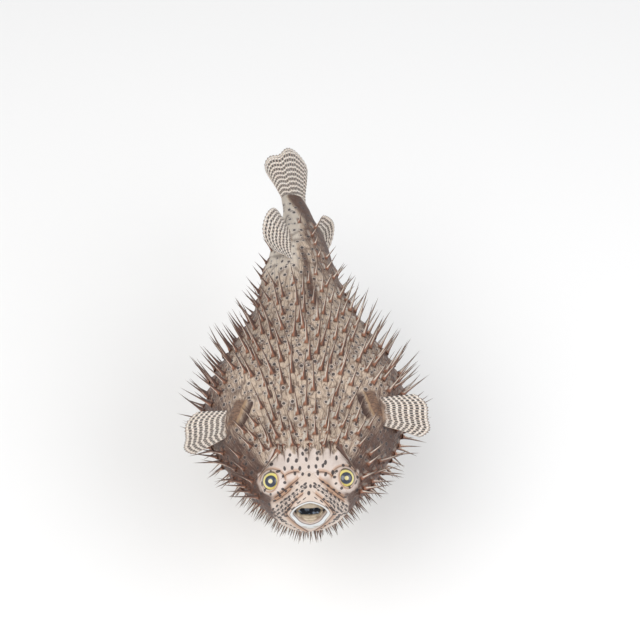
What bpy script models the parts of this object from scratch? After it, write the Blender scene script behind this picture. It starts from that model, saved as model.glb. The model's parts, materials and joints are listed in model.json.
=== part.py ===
"""A porcupine pufferfish at life size, half blown up, on a plain display stand.

Metres, +Z up. The fish looks along -Y with its left side at +X, and the origin is the middle
of the stand's underside. The body is one smooth form, set out as sections along a curved axis
from the lips to the root of the tail fin. It is parted by thin cuts into head, trunk and tail,
and each part carries its own spines. Fins, eyes, teeth and stand are separate solids.
"""

import math

import bmesh
import bpy
from mathutils import Vector

# ---- driving sizes -------------------------------------------------------------------------
BODY_LENGTH = 0.340  # along the axis, from the lips to the root of the tail fin
AXIS_HEIGHT = 0.124  # of the body's middle above the floor
MIDDLE_PLACE = 0.45  # share of the body's length that lies over the stand's middle
CUT = 0.0003  # gap between neighbouring solids

# Places along the body, as shares of its length.
NECK_PLACE = 0.205
TAIL_PLACE = 0.700

# Half width, height of the back and depth of the belly at places along the body, all as
# shares of the body's length.
BODY_STATIONS = (
    (0.020, 0.062, 0.050, 0.059),
    (0.050, 0.092, 0.070, 0.078),
    (0.100, 0.131, 0.090, 0.108),
    (0.170, 0.172, 0.120, 0.156),
    (0.270, 0.211, 0.156, 0.210),
    (0.370, 0.234, 0.182, 0.240),
    (0.470, 0.220, 0.184, 0.240),
    (0.570, 0.169, 0.164, 0.206),
    (0.670, 0.119, 0.134, 0.156),
    (0.770, 0.093, 0.108, 0.112),
    (0.870, 0.064, 0.078, 0.078),
    (0.940, 0.036, 0.048, 0.048),
    (1.000, 0.015, 0.036, 0.036),
)

KEEL = 0.30  # how much of its width the belly loses towards its middle line
JAW = 0.22  # how much more of it the throat loses

# How the axis turns on its way to the tail, in degrees: its rise, its swing towards the fish's
# right, and its roll about itself, which lays the tail's left side upwards.
AXIS_TURNS = (
    (0.00, -26.0, 2.8, 0.0),
    (0.15, -24.0, 2.8, 0.0),
    (0.30, -17.0, 1.2, 0.0),
    (0.42, -5.0, 0.0, 0.0),
    (0.55, 5.0, 3.0, 0.0),
    (0.70, 9.0, 4.0, 0.0),
    (0.80, 10.0, -1.0, 6.0),
    (0.90, 11.0, 4.0, 28.0),
    (1.00, 12.0, 16.0, 60.0),
)
AXIS_STEPS = 200

# The mouth from the throat out over the lips: depth behind the lips' front, half width and
# half height of the opening.
MOUTH_RINGS = (
    (0.0130, 0.0080, 0.0050),
    (0.0070, 0.0112, 0.0070),
    (0.0024, 0.0120, 0.0078),
    (0.0000, 0.0137, 0.0097),
    (0.0010, 0.0154, 0.0114),
    (0.0036, 0.0188, 0.0150),
)
THROAT_DEPTH = 0.0150
LIP_POINTEDNESS = 1.55  # 2 would be an ellipse, and less draws the corners out

# Eyes.
EYE_PLACE = 0.058
EYE_ANGLE = math.radians(47)  # round the section, from the middle of the back
EYE_OUTWARD = math.radians(27)  # the way it looks, from straight ahead
EYE_UPWARD = math.radians(25)
EYE_RADIUS = 0.0076
EYE_SUNK = 0.0046  # of the ball's centre below the top of the swelling round it
SWELLING_HEIGHT = 0.0085
SWELLING_RADIUS = 0.0190

# Beak plates: each one's rise above the middle of the mouth, and half its height.
BEAK_PLATES = (("beak_upper", 0.0052, 0.0036), ("beak_lower", -0.0076, 0.0046))
BEAK_HALF_WIDTH = 0.0135
BEAK_HALF_DEPTH = 0.0056
BEAK_MIDDLE_DEPTH = 0.0085  # behind the lips' front

# Spines: how far apart they stand round the body, and half the width of a foot.
SPINE_SPACING = 0.025
SPINE_FOOT = 0.0021

# Pectoral fins. For each side: the root's rear and front ends, as a place and degrees from the
# back, and the share of the fin's direction that points up.
PECTORAL_FINS = {
    1: ((0.296, 41), (0.250, 51), 0.12),
    -1: ((0.277, 42), (0.238, 53), -0.04),
}
PECTORAL_LENGTH = 0.051
PECTORAL_SUNK = 0.010  # of the root within the flank
FOLD = 0.004  # how far the fin bends out of its plane

# Dorsal and anal fins: places of the root's two ends, degrees from the back, lean to the
# fish's left, the first and last rays as shares outward and tailward, and the length.
MEDIAN_FINS = (
    ("dorsal_fin", 0.755, 0.860, 0, -2.2, (0.89, 0.34), (0.50, 0.86), 0.036),
    ("anal_fin", 0.835, 0.900, 180, 2.6, (0.66, 0.75), (0.36, 0.93), 0.043),
)
MEDIAN_SUNK = 0.003

# Tail fin: half the height of its root, its length, and its notch.
TAIL_FIN_PLACE = 0.985
TAIL_FIN_HALF_ROOT = 0.0100
TAIL_FIN_LENGTH = 0.063
NOTCH_PLACE, NOTCH_WIDTH, NOTCH_DEPTH = 0.36, 0.12, 0.09

# Faces: columns round the head, trunk and tail, and steps along and across each fin.
HEAD_COLUMNS, TRUNK_COLUMNS, TAIL_COLUMNS = 48, 36, 28
FIN_STEPS = (6, 10)

# Stand.
BASE_HALF_WIDTH = 0.056
BASE_HALF_LENGTH = 0.062
BASE_HEIGHT = 0.010
BASE_ROUNDING = 0.0022
ROD_RADIUS = 0.0035
ROD_SOCKET_DEPTH = 0.007
ROD_PLACES = (-0.030, 0.040)  # along Y


# ---- curves --------------------------------------------------------------------------------
def between(rows, place, column):
    """One column of the rows at a place between them, on a smooth curve through them all."""
    if place <= rows[0][0]:
        return rows[0][column]
    if place >= rows[-1][0]:
        return rows[-1][column]
    i = max(k for k in range(len(rows) - 1) if rows[k][0] <= place)

    def slope(k):
        low, high = max(k - 1, 0), min(k + 1, len(rows) - 1)
        return (rows[high][column] - rows[low][column]) / (rows[high][0] - rows[low][0])

    span = rows[i + 1][0] - rows[i][0]
    t = (place - rows[i][0]) / span
    start, end = rows[i][column], rows[i + 1][column]
    return (
        (2 * t**3 - 3 * t**2 + 1) * start
        + (t**3 - 2 * t**2 + t) * span * slope(i)
        + (3 * t**2 - 2 * t**3) * end
        + (t**3 - t**2) * span * slope(i + 1)
    )


def ease(low, high, x):
    """0 below low, 1 above high, and a smooth step between them."""
    t = min(max((x - low) / (high - low), 0.0), 1.0)
    return t * t * (3 - 2 * t)


def tailward(place):
    """The axis's direction at a place along the body."""
    rise = math.radians(between(AXIS_TURNS, place, 1))
    swing = math.radians(between(AXIS_TURNS, place, 2))
    return Vector((
        -math.sin(swing) * math.cos(rise),
        math.cos(swing) * math.cos(rise),
        math.sin(rise),
    ))


def axis_points():
    """Points along the axis, at equal steps of the body's length, with its middle over the stand."""
    points = [Vector((0, 0, 0))]
    for i in range(AXIS_STEPS):
        points.append(points[-1] + tailward((i + 0.5) / AXIS_STEPS) * BODY_LENGTH / AXIS_STEPS)
    shift = Vector((0, 0, AXIS_HEIGHT)) - points[round(MIDDLE_PLACE * AXIS_STEPS)]
    return [point + shift for point in points]


AXIS = axis_points()


def axis_at(place):
    """The axis's point at a place along the body, which may lie past either end."""
    if place <= 0:
        return AXIS[0] + tailward(0) * place * BODY_LENGTH
    if place >= 1:
        return AXIS[-1] + tailward(1) * (place - 1) * BODY_LENGTH
    step = min(int(place * AXIS_STEPS), AXIS_STEPS - 1)
    return AXIS[step].lerp(AXIS[step + 1], place * AXIS_STEPS - step)


def frame_at(place):
    """The directions towards the tail, the fish's left and its back at a place along the body."""
    back_to_tail = tailward(place)
    level_left = back_to_tail.cross(Vector((0, 0, 1))).normalized()
    level_up = level_left.cross(back_to_tail)
    roll = math.radians(between(AXIS_TURNS, place, 3))
    left = math.cos(roll) * level_left + math.sin(roll) * level_up
    up = math.cos(roll) * level_up - math.sin(roll) * level_left
    return back_to_tail, left, up


# ---- the skin's form -----------------------------------------------------------------------
def power(value, exponent):
    return math.copysign(abs(value) ** exponent, value)


def section_point(place, angle, grow=0.0):
    """A point of the body's section at a place, at an angle from the middle of the back."""
    _, left, up = frame_at(place)
    half_width, back, belly = (
        between(BODY_STATIONS, place, column) * BODY_LENGTH + grow for column in (1, 2, 3)
    )
    under = max(0.0, -math.cos(angle))
    jaw = JAW * under**0.8 * ease(0.03, 0.10, place) * (1 - ease(0.20, 0.38, place))
    narrowing = 1 - KEEL * under**2 * ease(0.04, 0.20, place) - jaw
    across = math.sin(angle) * half_width * narrowing
    over = math.cos(angle) * (back if math.cos(angle) > 0 else belly)
    return axis_at(place) + left * across + up * over


def lip_point(ring, angle, grow=0.0):
    """A point of one of the mouth's rings, whose corners are drawn out to the sides."""
    depth, half_width, half_height = MOUTH_RINGS[ring]
    _, left, up = frame_at(0)
    across = power(math.sin(angle), 2 / LIP_POINTEDNESS) * (half_width + grow)
    over = power(math.cos(angle), 2 / LIP_POINTEDNESS) * (half_height + grow)
    return axis_at(depth / BODY_LENGTH) + left * across + up * over


def eye_axis(side):
    """The way an eye looks, side being 1 for the left eye and -1 for the right one."""
    back_to_tail, left, up = frame_at(EYE_PLACE)
    level = -math.cos(EYE_OUTWARD) * back_to_tail + side * math.sin(EYE_OUTWARD) * left
    return (math.cos(EYE_UPWARD) * level + math.sin(EYE_UPWARD) * up).normalized()


def eye_foot(side):
    return section_point(EYE_PLACE, side * EYE_ANGLE)


def eye_centre(side):
    return eye_foot(side) + eye_axis(side) * (SWELLING_HEIGHT - EYE_SUNK)


def swollen(point):
    """A point of the head's skin, pushed out where it covers an eye."""
    for side in (1, -1):
        axis = eye_axis(side)
        offset = point - eye_foot(side)
        along = offset.dot(axis)
        away = (offset - along * axis).length
        if away < SWELLING_RADIUS and along > -SWELLING_RADIUS:
            hill = 1 - ease(0.30, 1.0, away / SWELLING_RADIUS)
            point = point + axis * SWELLING_HEIGHT * hill
    return point


def head_point(place, angle):
    return swollen(section_point(place, angle))


# ---- spines --------------------------------------------------------------------------------
def spine_length(place, angle):
    """Length of a spine: long behind the fins, shorter on the forehead, chin and tail."""
    behind_face = 0.0125 + 0.0145 * ease(0.14, 0.42, place)
    towards_tail = 1.0 - 0.45 * ease(0.58, 0.86, place)
    under = 1.0 - 0.25 * ease(math.radians(95), math.radians(150), abs(angle))
    return behind_face * towards_tail * under


def spine_direction(out, place, angle):
    """Where a spine points: away from the mouth in front, and towards the tail further back."""
    front = 1 - ease(0.14, 0.34, place)
    back, belly = math.radians(50 + 14 * front), math.radians(38 + 6 * front)
    lean = back + (belly - back) * ease(math.radians(40), math.radians(120), abs(angle))
    tail = tailward(place)
    along = (tail - tail.dot(out) * out).normalized()
    behind = ease(0.22, 0.42, place)
    towards = (along * (1 - behind) + tail * behind).normalized()
    apart = towards.cross(out) * math.sin(angle) * 0.30
    return (math.cos(lean) * out + math.sin(lean) * towards + apart).normalized()


def bears_spine(place, angle):
    """Whether spines grow here, as they don't on the face, round the fins or on the tail's end."""
    turn = math.degrees(abs(angle))
    face_edge = 0.110 + 0.030 * ease(20, 45, turn) - 0.055 * ease(58, 85, turn)
    if not face_edge + 0.030 * ease(95, 130, turn) < place < 0.90:
        return False
    by_pectoral_fin = 0.178 < place < 0.320 and 34 < turn < 74
    by_fin_line = place > 0.73 and (turn < 17 or turn > 163)
    on_tail_side = place > 0.80 and turn > 70
    by_rods = 0.28 < place < 0.66 and turn > 166
    return not (by_pectoral_fin or by_fin_line or on_tail_side or by_rods)


def spine_turns(place, row, columns):
    """The columns of one row that grow a spine, staggered from row to row."""
    radius = sum(between(BODY_STATIONS, place, column) for column in (1, 2)) / 2 * BODY_LENGTH
    count = max(6, round(2 * math.pi * radius / SPINE_SPACING))
    return sorted({int((k + 0.25 + 0.5 * (row % 2)) * columns / count) for k in range(count)})


# ---- meshes --------------------------------------------------------------------------------
def new_collection(name):
    made = bpy.data.collections.new(name)
    bpy.context.scene.collection.children.link(made)
    return made


def new_object(name, bm, collection, material=None):
    """Turns a bmesh into an object of that collection, its faces facing out."""
    bm.normal_update()
    bmesh.ops.recalc_face_normals(bm, faces=bm.faces)
    mesh = bpy.data.meshes.new(name)
    bm.to_mesh(mesh)
    bm.free()
    if material:
        mesh.materials.append(material)
    made = bpy.data.objects.new(name, mesh)
    collection.objects.link(made)
    return made


def as_cutter(helper):
    helper.hide_render = True
    helper.display_type = "WIRE"
    return helper


def cut(piece, cutter, operation="DIFFERENCE"):
    """Takes the cutter's shape out of the piece, or keeps only what lies within it."""
    boolean = piece.modifiers.new(f"by_{cutter.name}", "BOOLEAN")
    boolean.operation = operation
    boolean.solver = "EXACT"
    boolean.object = cutter


def ringed_form(columns, rings, point_of):
    """A closed form of rings between two end points, shaped from a sphere.

    point_of(ring, angle) gives each point, ring 0 and ring rings + 1 being the end points.
    Returns the bmesh, and its four-sided faces by row and column.
    """
    bm = bmesh.new()
    bmesh.ops.create_uvsphere(bm, u_segments=columns, v_segments=rings + 1, radius=1)
    cells = {}
    for face in bm.faces:
        middle = face.calc_center_median().normalized()
        row = int(math.acos(middle.z) / math.pi * (rings + 1))
        turn = math.atan2(middle.x, middle.y) / (2 * math.pi) % 1
        if len(face.verts) == 4:
            cells[row, int(turn * columns)] = face
    for vert in bm.verts:
        down = math.acos(max(-1.0, min(1.0, vert.co.z))) / math.pi
        vert.co = point_of(round(down * (rings + 1)), math.atan2(vert.co.x, vert.co.y))
    bm.normal_update()
    bmesh.ops.recalc_face_normals(bm, faces=bm.faces)
    bm.normal_update()
    return bm, cells


def grow_spine(bm, face, direction, length):
    """Draws one spine out of the middle of a face of the skin."""
    middle = face.calc_center_median()
    bmesh.ops.inset_individual(bm, faces=[face], thickness=SPINE_FOOT / 4)
    for vert in face.verts:
        spoke = vert.co - middle
        vert.co = middle + spoke * min(SPINE_FOOT * math.sqrt(2) / spoke.length, 0.7)
    tip = bmesh.ops.poke(bm, faces=[face])["verts"][0]
    tip.co = middle + direction * length


def grow_spines(bm, cells, columns, places, every):
    """Grows the spines of one length of the body, on every second row or on each."""
    for row in range(1, len(places)):
        if row % every or places[row - 1] is None:
            continue
        place = (places[row - 1] + places[row]) / 2
        for column in spine_turns(place, row // every, columns):
            turn = (column + 0.5) / columns
            angle = 2 * math.pi * (turn if turn < 0.5 else turn - 1)
            if not bears_spine(place, angle):
                continue
            direction = spine_direction(cells[row, column].normal.copy(), place, angle)
            grow_spine(bm, cells[row, column], direction, spine_length(place, angle))


def body_part(name, columns, places, point_of, every=1):
    """One length of the body with its spines.

    places holds the place along the body of each ring, or None inside the mouth.
    """
    bm, cells = ringed_form(columns, len(places), point_of)
    grow_spines(bm, cells, columns, places, every)
    return new_object(name, bm, PARTS, SKIN)


def evenly(low, high, steps):
    return [low + (high - low) * i / steps for i in range(steps + 1)]


def make_head():
    """From the throat out over the lips and back to the neck, with a socket for each eye."""
    places = [None] * len(MOUTH_RINGS) + evenly(0.020, NECK_PLACE - CUT / BODY_LENGTH, 10)

    def point_of(ring, angle):
        if ring == 0:
            return axis_at(THROAT_DEPTH / BODY_LENGTH)
        if ring <= len(MOUTH_RINGS):
            return lip_point(ring - 1, angle)
        if ring > len(places):
            return axis_at(places[-1])
        return head_point(places[ring - 1], angle)

    head = body_part("head", HEAD_COLUMNS, places, point_of, every=2)
    for side, word in ((1, "left"), (-1, "right")):
        cut(head, ball(f"eye_socket_{word}", eye_centre(side), EYE_RADIUS + CUT, CUTTERS))


def make_length(name, places, columns):
    """A length of the body with flat ends, and a cutter of its form, larger by the cut."""
    def point_of(ring, angle):
        place = places[min(max(ring - 1, 0), len(places) - 1)]
        if 0 < ring <= len(places):
            return section_point(place, angle)
        return axis_at(place)

    body_part(name, columns, places, point_of)
    form = ringed_form(columns, len(places), point_of)[0]
    clearance = as_cutter(new_object(f"{name}_clearance", form, CUTTERS))
    growth = clearance.modifiers.new("growth", "DISPLACE")
    growth.direction = "NORMAL"
    growth.mid_level = 0
    growth.strength = CUT
    return clearance


def ball(name, centre, radius, collection, material=None):
    """A ball, as an eye or as the socket that takes it."""
    bm = bmesh.new()
    bmesh.ops.create_uvsphere(bm, u_segments=16, v_segments=10, radius=radius)
    bmesh.ops.translate(bm, verts=bm.verts, vec=centre)
    made = new_object(name, bm, collection, material)
    if material:
        made.data.shade_smooth()
    return made if material else as_cutter(made)


def make_eyes():
    for side, word in ((1, "left"), (-1, "right")):
        ball(f"eye_{word}", eye_centre(side), EYE_RADIUS, PARTS, EYE)


def make_beak():
    """The two tooth plates that show between the lips, fitted into the mouth."""
    def point_of(ring, angle):
        if ring in (0, 5):
            return axis_at((THROAT_DEPTH if ring == 0 else -0.004) / BODY_LENGTH)
        return lip_point(ring - 1, angle, -CUT)

    room = as_cutter(new_object("mouth_room", ringed_form(HEAD_COLUMNS, 4, point_of)[0], CUTTERS))
    back_to_tail, left, up = frame_at(0)
    for name, rise, half_height in BEAK_PLATES:
        bm = bmesh.new()
        bmesh.ops.create_uvsphere(bm, u_segments=18, v_segments=10, radius=1)
        middle = axis_at(BEAK_MIDDLE_DEPTH / BODY_LENGTH) + up * rise
        for vert in bm.verts:
            x, y, z = vert.co
            across = left * x * BEAK_HALF_WIDTH
            vert.co = middle + across + back_to_tail * y * BEAK_HALF_DEPTH + up * z * half_height
        cut(new_object(name, bm, PARTS, IVORY), room, "INTERSECT")


# ---- fins ----------------------------------------------------------------------------------
def fan_fin(name, root, rays, length, outline, fold, thick, thin, flesh):
    """A fin: rays that fan out from a root line, with skin between them.

    root holds the root line's two ends, and rays the directions of the rays there. outline(v)
    is the share of the length that the ray at v reaches, and fold(u, v) is how far the fin
    stands out of its own plane. It thins from thick to thin over the share flesh of its length.
    """
    normal = rays[0].cross(rays[1]).normalized()
    bm = bmesh.new()
    bmesh.ops.create_grid(bm, x_segments=FIN_STEPS[0], y_segments=FIN_STEPS[1], size=0.5)
    weights = {}
    for vert in bm.verts:
        u, v = vert.co.x + 0.5, vert.co.y + 0.5
        ray = (rays[0] * (1 - v) + rays[1] * v).normalized()
        vert.co = root[0].lerp(root[1], v) + ray * u * length * outline(v) + normal * fold(u, v)
        weights[vert.index] = 1 - ease(0, flesh, u)
    mesh = bpy.data.meshes.new(name)
    bm.to_mesh(mesh)
    bm.free()
    mesh.materials.append(FIN)
    fin = bpy.data.objects.new(name, mesh)
    PARTS.objects.link(fin)
    group = fin.vertex_groups.new(name="flesh")
    for index, weight in weights.items():
        group.add([index], weight, "REPLACE")
    shell = fin.modifiers.new("shell", "SOLIDIFY")
    shell.thickness = thick
    shell.offset = 0
    shell.vertex_group = "flesh"
    shell.thickness_vertex_group = thin / thick
    return fin


def rounded(v, least, sharpness=0.5):
    """A rounded outline across a fin, least at its two edges and 1 at its middle."""
    return least + (1 - least) * math.sin(math.pi * v) ** sharpness


def make_pectoral_fins(clearance):
    """Broad fans that stand out sideways from the flanks, just behind the gill openings."""
    for side, word in ((1, "left"), (-1, "right")):
        *ends, raised = PECTORAL_FINS[side]
        rear, front = (
            section_point(place, side * math.radians(turn), -PECTORAL_SUNK)
            for place, turn in ends
        )
        back_to_tail, left, up = frame_at(sum(place for place, _ in ends) / 2)
        out = side * left
        rays = (
            (out * 0.97 + back_to_tail * 0.14 + up * raised).normalized(),
            (out * 0.92 - back_to_tail * 0.34 + up * (raised - 0.16)).normalized(),
        )
        fin = fan_fin(
            f"pectoral_fin_{word}", (rear, front), rays, PECTORAL_LENGTH,
            lambda v: rounded(v, 0.84) - 0.02 * math.cos(4 * math.pi * v),
            lambda u, v: side * FOLD * (math.sin(math.pi * v) * u + u * u),
            thick=0.0070, thin=0.0009, flesh=0.45,
        )
        cut(fin, clearance)


def make_median_fins(clearance):
    """The dorsal and anal fins, set far back, which lie over to either side."""
    for name, first, last, turn, lean, *shares, length in MEDIAN_FINS:
        angle = math.radians(turn)
        start = section_point(first, angle, -MEDIAN_SUNK)
        end = section_point(last, angle, -MEDIAN_SUNK)
        back_to_tail, left, up = frame_at((first + last) / 2)
        out = (up * math.cos(angle) + left * lean).normalized()
        rays = [(out * o + back_to_tail * t).normalized() for o, t in shares]
        fin = fan_fin(
            name, (start, end), rays, length,
            lambda v: rounded(v, 0.62, 0.6),
            lambda u, v: FOLD * 0.75 * math.sin(2 * math.pi * v) * u,
            thick=0.0042, thin=0.0008, flesh=0.30,
        )
        cut(fin, clearance)


def make_tail_fin(clearance):
    """A broad fan, a little folded, with a shallow notch in its rounded edge."""
    back_to_tail, left, up = frame_at(1.0)
    upper = axis_at(TAIL_FIN_PLACE) + up * TAIL_FIN_HALF_ROOT
    lower = axis_at(TAIL_FIN_PLACE) - up * TAIL_FIN_HALF_ROOT
    rays = (
        (back_to_tail * 0.97 + up * 0.22).normalized(),
        (back_to_tail * 0.90 - up * 0.42).normalized(),
    )
    fin = fan_fin(
        "tail_fin", (upper, lower), rays, TAIL_FIN_LENGTH,
        lambda v: rounded(v, 0.66) * (0.86 + 0.20 * v)
        - NOTCH_DEPTH * math.exp(-(((v - NOTCH_PLACE) / NOTCH_WIDTH) ** 2)),
        lambda u, v: FOLD * 0.75 * math.cos(2 * math.pi * v) * u,
        thick=0.0040, thin=0.0008, flesh=0.30,
    )
    cut(fin, clearance)


# ---- stand ---------------------------------------------------------------------------------
def move_to(made, collection):
    for held_by in list(made.users_collection):
        held_by.objects.unlink(made)
    collection.objects.link(made)


def upright(name, radius, low, high, along, collection, material=None):
    """A round rod, or the hole that takes one, upright over the stand's middle line."""
    bpy.ops.mesh.primitive_cylinder_add(
        vertices=16, radius=radius, depth=high - low, location=(0, along, (low + high) / 2)
    )
    made = bpy.context.object
    made.name = name
    move_to(made, collection)
    if not material:
        return as_cutter(made)
    made.data.materials.append(material)
    made.data.set_sharp_from_angle(angle=math.radians(40))
    return made


def make_stand(clearance):
    """An oval base with a rounded edge, and two rods that end under the belly."""
    bpy.ops.mesh.primitive_cylinder_add(
        vertices=40, radius=1, depth=BASE_HEIGHT, location=(0, 0, BASE_HEIGHT / 2)
    )
    base = bpy.context.object
    base.name = "stand_base"
    base.scale = (BASE_HALF_WIDTH, BASE_HALF_LENGTH, 1)
    bpy.ops.object.transform_apply(location=True, rotation=False, scale=True)
    move_to(base, PARTS)
    base.data.materials.append(STAND)
    rounding = base.modifiers.new("rounding", "BEVEL")
    rounding.width = BASE_ROUNDING
    rounding.segments = 2
    rounding.limit_method = "ANGLE"
    for along, word in zip(ROD_PLACES, ("front", "rear")):
        floor = BASE_HEIGHT - ROD_SOCKET_DEPTH
        hole = upright(
            f"{word}_hole", ROD_RADIUS + CUT, floor - CUT, BASE_HEIGHT + 0.01, along, CUTTERS
        )
        cut(base, hole)
        rod = upright(
            f"stand_rod_{word}", ROD_RADIUS, floor, AXIS_HEIGHT / 2, along, PARTS, METAL
        )
        cut(rod, clearance)


# ---- materials and making ------------------------------------------------------------------
def material(name, colour, roughness, metallic=0.0):
    made = bpy.data.materials.new(name)
    made.use_nodes = True
    shader = made.node_tree.nodes["Principled BSDF"]
    shader.inputs["Base Color"].default_value = (*colour, 1.0)
    shader.inputs["Roughness"].default_value = roughness
    shader.inputs["Metallic"].default_value = metallic
    return made


for old in list(bpy.data.objects):
    bpy.data.objects.remove(old)
PARTS = new_collection("porcupine_pufferfish")
CUTTERS = new_collection("cutters")
SKIN = material("skin", (0.38, 0.30, 0.23), 0.6)
FIN = material("fin", (0.72, 0.64, 0.55), 0.5)
EYE = material("eye", (0.62, 0.52, 0.10), 0.1)
IVORY = material("ivory", (0.66, 0.56, 0.42), 0.3)
STAND = material("stand", (0.78, 0.77, 0.75), 0.4)
METAL = material("metal", (0.60, 0.60, 0.60), 0.3, 1.0)

make_head()
TRUNK_PLACES = evenly(NECK_PLACE, TAIL_PLACE - CUT / BODY_LENGTH, 12)
TRUNK_CLEARANCE = make_length("trunk", TRUNK_PLACES, TRUNK_COLUMNS)
TAIL_CLEARANCE = make_length("tail", evenly(TAIL_PLACE, 1.0, 10), TAIL_COLUMNS)
make_eyes()
make_beak()
make_pectoral_fins(TRUNK_CLEARANCE)
make_median_fins(TAIL_CLEARANCE)
make_tail_fin(TAIL_CLEARANCE)
make_stand(TRUNK_CLEARANCE)
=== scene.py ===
# %% [markdown]
# # A porcupine pufferfish on its stand
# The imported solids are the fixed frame: they give every size and place. This lesson puts a
# finished surface round them: one skin, several hundred spines, five rayed fins, glossy eyes,
# a beak, and a small painted stand. The fish looks along -Y and its left side is at +X.

import json
import math
import random

import bmesh
import bpy
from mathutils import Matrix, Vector, bvhtree, kdtree, noise

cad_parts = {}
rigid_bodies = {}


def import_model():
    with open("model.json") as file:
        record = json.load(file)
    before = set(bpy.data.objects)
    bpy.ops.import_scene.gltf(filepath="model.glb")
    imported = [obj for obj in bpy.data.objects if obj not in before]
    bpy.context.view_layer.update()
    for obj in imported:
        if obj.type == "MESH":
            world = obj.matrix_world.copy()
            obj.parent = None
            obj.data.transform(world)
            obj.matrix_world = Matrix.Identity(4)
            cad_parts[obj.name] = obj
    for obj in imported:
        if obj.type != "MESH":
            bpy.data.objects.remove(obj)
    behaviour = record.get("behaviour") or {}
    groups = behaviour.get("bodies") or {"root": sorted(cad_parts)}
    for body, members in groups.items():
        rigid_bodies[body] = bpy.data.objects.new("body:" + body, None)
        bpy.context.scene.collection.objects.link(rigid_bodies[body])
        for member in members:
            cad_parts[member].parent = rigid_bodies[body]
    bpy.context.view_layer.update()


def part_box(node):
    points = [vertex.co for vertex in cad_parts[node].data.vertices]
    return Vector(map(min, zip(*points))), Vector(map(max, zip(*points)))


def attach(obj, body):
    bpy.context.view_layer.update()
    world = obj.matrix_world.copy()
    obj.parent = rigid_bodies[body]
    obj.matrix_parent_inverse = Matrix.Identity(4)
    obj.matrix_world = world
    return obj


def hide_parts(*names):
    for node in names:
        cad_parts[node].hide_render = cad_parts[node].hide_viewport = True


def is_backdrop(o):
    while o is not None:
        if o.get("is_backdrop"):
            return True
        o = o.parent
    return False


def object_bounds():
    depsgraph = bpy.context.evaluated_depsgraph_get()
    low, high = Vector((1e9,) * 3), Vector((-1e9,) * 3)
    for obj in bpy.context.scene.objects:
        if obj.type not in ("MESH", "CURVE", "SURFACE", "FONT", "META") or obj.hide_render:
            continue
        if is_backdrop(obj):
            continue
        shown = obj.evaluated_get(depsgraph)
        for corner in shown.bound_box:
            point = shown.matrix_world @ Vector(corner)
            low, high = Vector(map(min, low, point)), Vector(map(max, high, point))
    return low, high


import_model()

# %% [markdown]
# ## The body's own measures
# A fish that is bent and twisted is easiest to shape along a curved axis. Each place on the
# skin then has two numbers: its share of the way from the lips to the tail, and its turn round
# the axis from the middle of the back. These are the same driving sizes as the solids have, so
# that skin, spines and fins land where the solids are.

# %% Driving sizes
BODY_LENGTH = 0.340
AXIS_HEIGHT = 0.124
MIDDLE_PLACE = 0.45
AXIS_STEPS = 200
KEEL = 0.30
JAW = 0.22
MM = 0.001
SIDES = ((1, "left"), (-1, "right"))  # the fish's left is towards +X

# Half width, height of the back and depth of the belly at places, as shares of the length.
BODY_STATIONS = (
    (0.0106, 0.0553, 0.0441, 0.0441),
    (0.020, 0.062, 0.050, 0.059),
    (0.050, 0.092, 0.070, 0.078),
    (0.100, 0.131, 0.090, 0.108),
    (0.170, 0.172, 0.120, 0.156),
    (0.270, 0.211, 0.156, 0.210),
    (0.370, 0.234, 0.182, 0.240),
    (0.470, 0.220, 0.184, 0.240),
    (0.570, 0.169, 0.164, 0.206),
    (0.670, 0.119, 0.134, 0.156),
    (0.770, 0.093, 0.108, 0.112),
    (0.870, 0.064, 0.078, 0.078),
    (0.940, 0.036, 0.048, 0.048),
    (1.000, 0.015, 0.036, 0.036),
)

# Rise, swing to the fish's right, and roll of the axis, in degrees.
AXIS_TURNS = (
    (0.00, -26.0, 2.8, 0.0),
    (0.15, -24.0, 2.8, 0.0),
    (0.30, -17.0, 1.2, 0.0),
    (0.42, -5.0, 0.0, 0.0),
    (0.55, 5.0, 3.0, 0.0),
    (0.70, 9.0, 4.0, 0.0),
    (0.80, 10.0, -1.0, 6.0),
    (0.90, 11.0, 4.0, 28.0),
    (1.00, 12.0, 16.0, 60.0),
)

# The mouth from the throat out over the lips: step, depth, half width, half height.
MOUTH_RINGS = (
    (-1, 0.0170, 0.0050, 0.0030),
    (0, 0.0130, 0.0080, 0.0050),
    (1, 0.0070, 0.0112, 0.0070),
    (2, 0.0024, 0.0120, 0.0078),
    (3, 0.0000, 0.0137, 0.0097),
    (4, 0.0010, 0.0154, 0.0114),
    (5, 0.0036, 0.0188, 0.0150),
)
LIP_POINTEDNESS = 1.55
MUZZLE_PLACE = 0.0106  # where the mouth's last ring lies along the body


# %% Curves through rows of numbers
def between(rows, place, column):
    """One column of the rows at a place between them, on a smooth curve through them all."""
    if place <= rows[0][0]:
        return rows[0][column]
    if place >= rows[-1][0]:
        return rows[-1][column]
    i = max(k for k in range(len(rows) - 1) if rows[k][0] <= place)

    def slope(k):
        low, high = max(k - 1, 0), min(k + 1, len(rows) - 1)
        return (rows[high][column] - rows[low][column]) / (rows[high][0] - rows[low][0])

    span = rows[i + 1][0] - rows[i][0]
    t = (place - rows[i][0]) / span
    start, end = rows[i][column], rows[i + 1][column]
    return (
        (2 * t**3 - 3 * t**2 + 1) * start
        + (t**3 - 2 * t**2 + t) * span * slope(i)
        + (3 * t**2 - 2 * t**3) * end
        + (t**3 - t**2) * span * slope(i + 1)
    )


def ease(low, high, x):
    """0 below low, 1 above high, and a smooth step between them."""
    t = min(max((x - low) / (high - low), 0.0), 1.0)
    return t * t * (3 - 2 * t)


def bump(x):
    """1 at 0, falling smoothly to nearly nothing at 2 on either side."""
    return math.exp(-x * x)


def evenly(low, high, steps):
    return [low + (high - low) * i / steps for i in range(steps + 1)]


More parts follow.
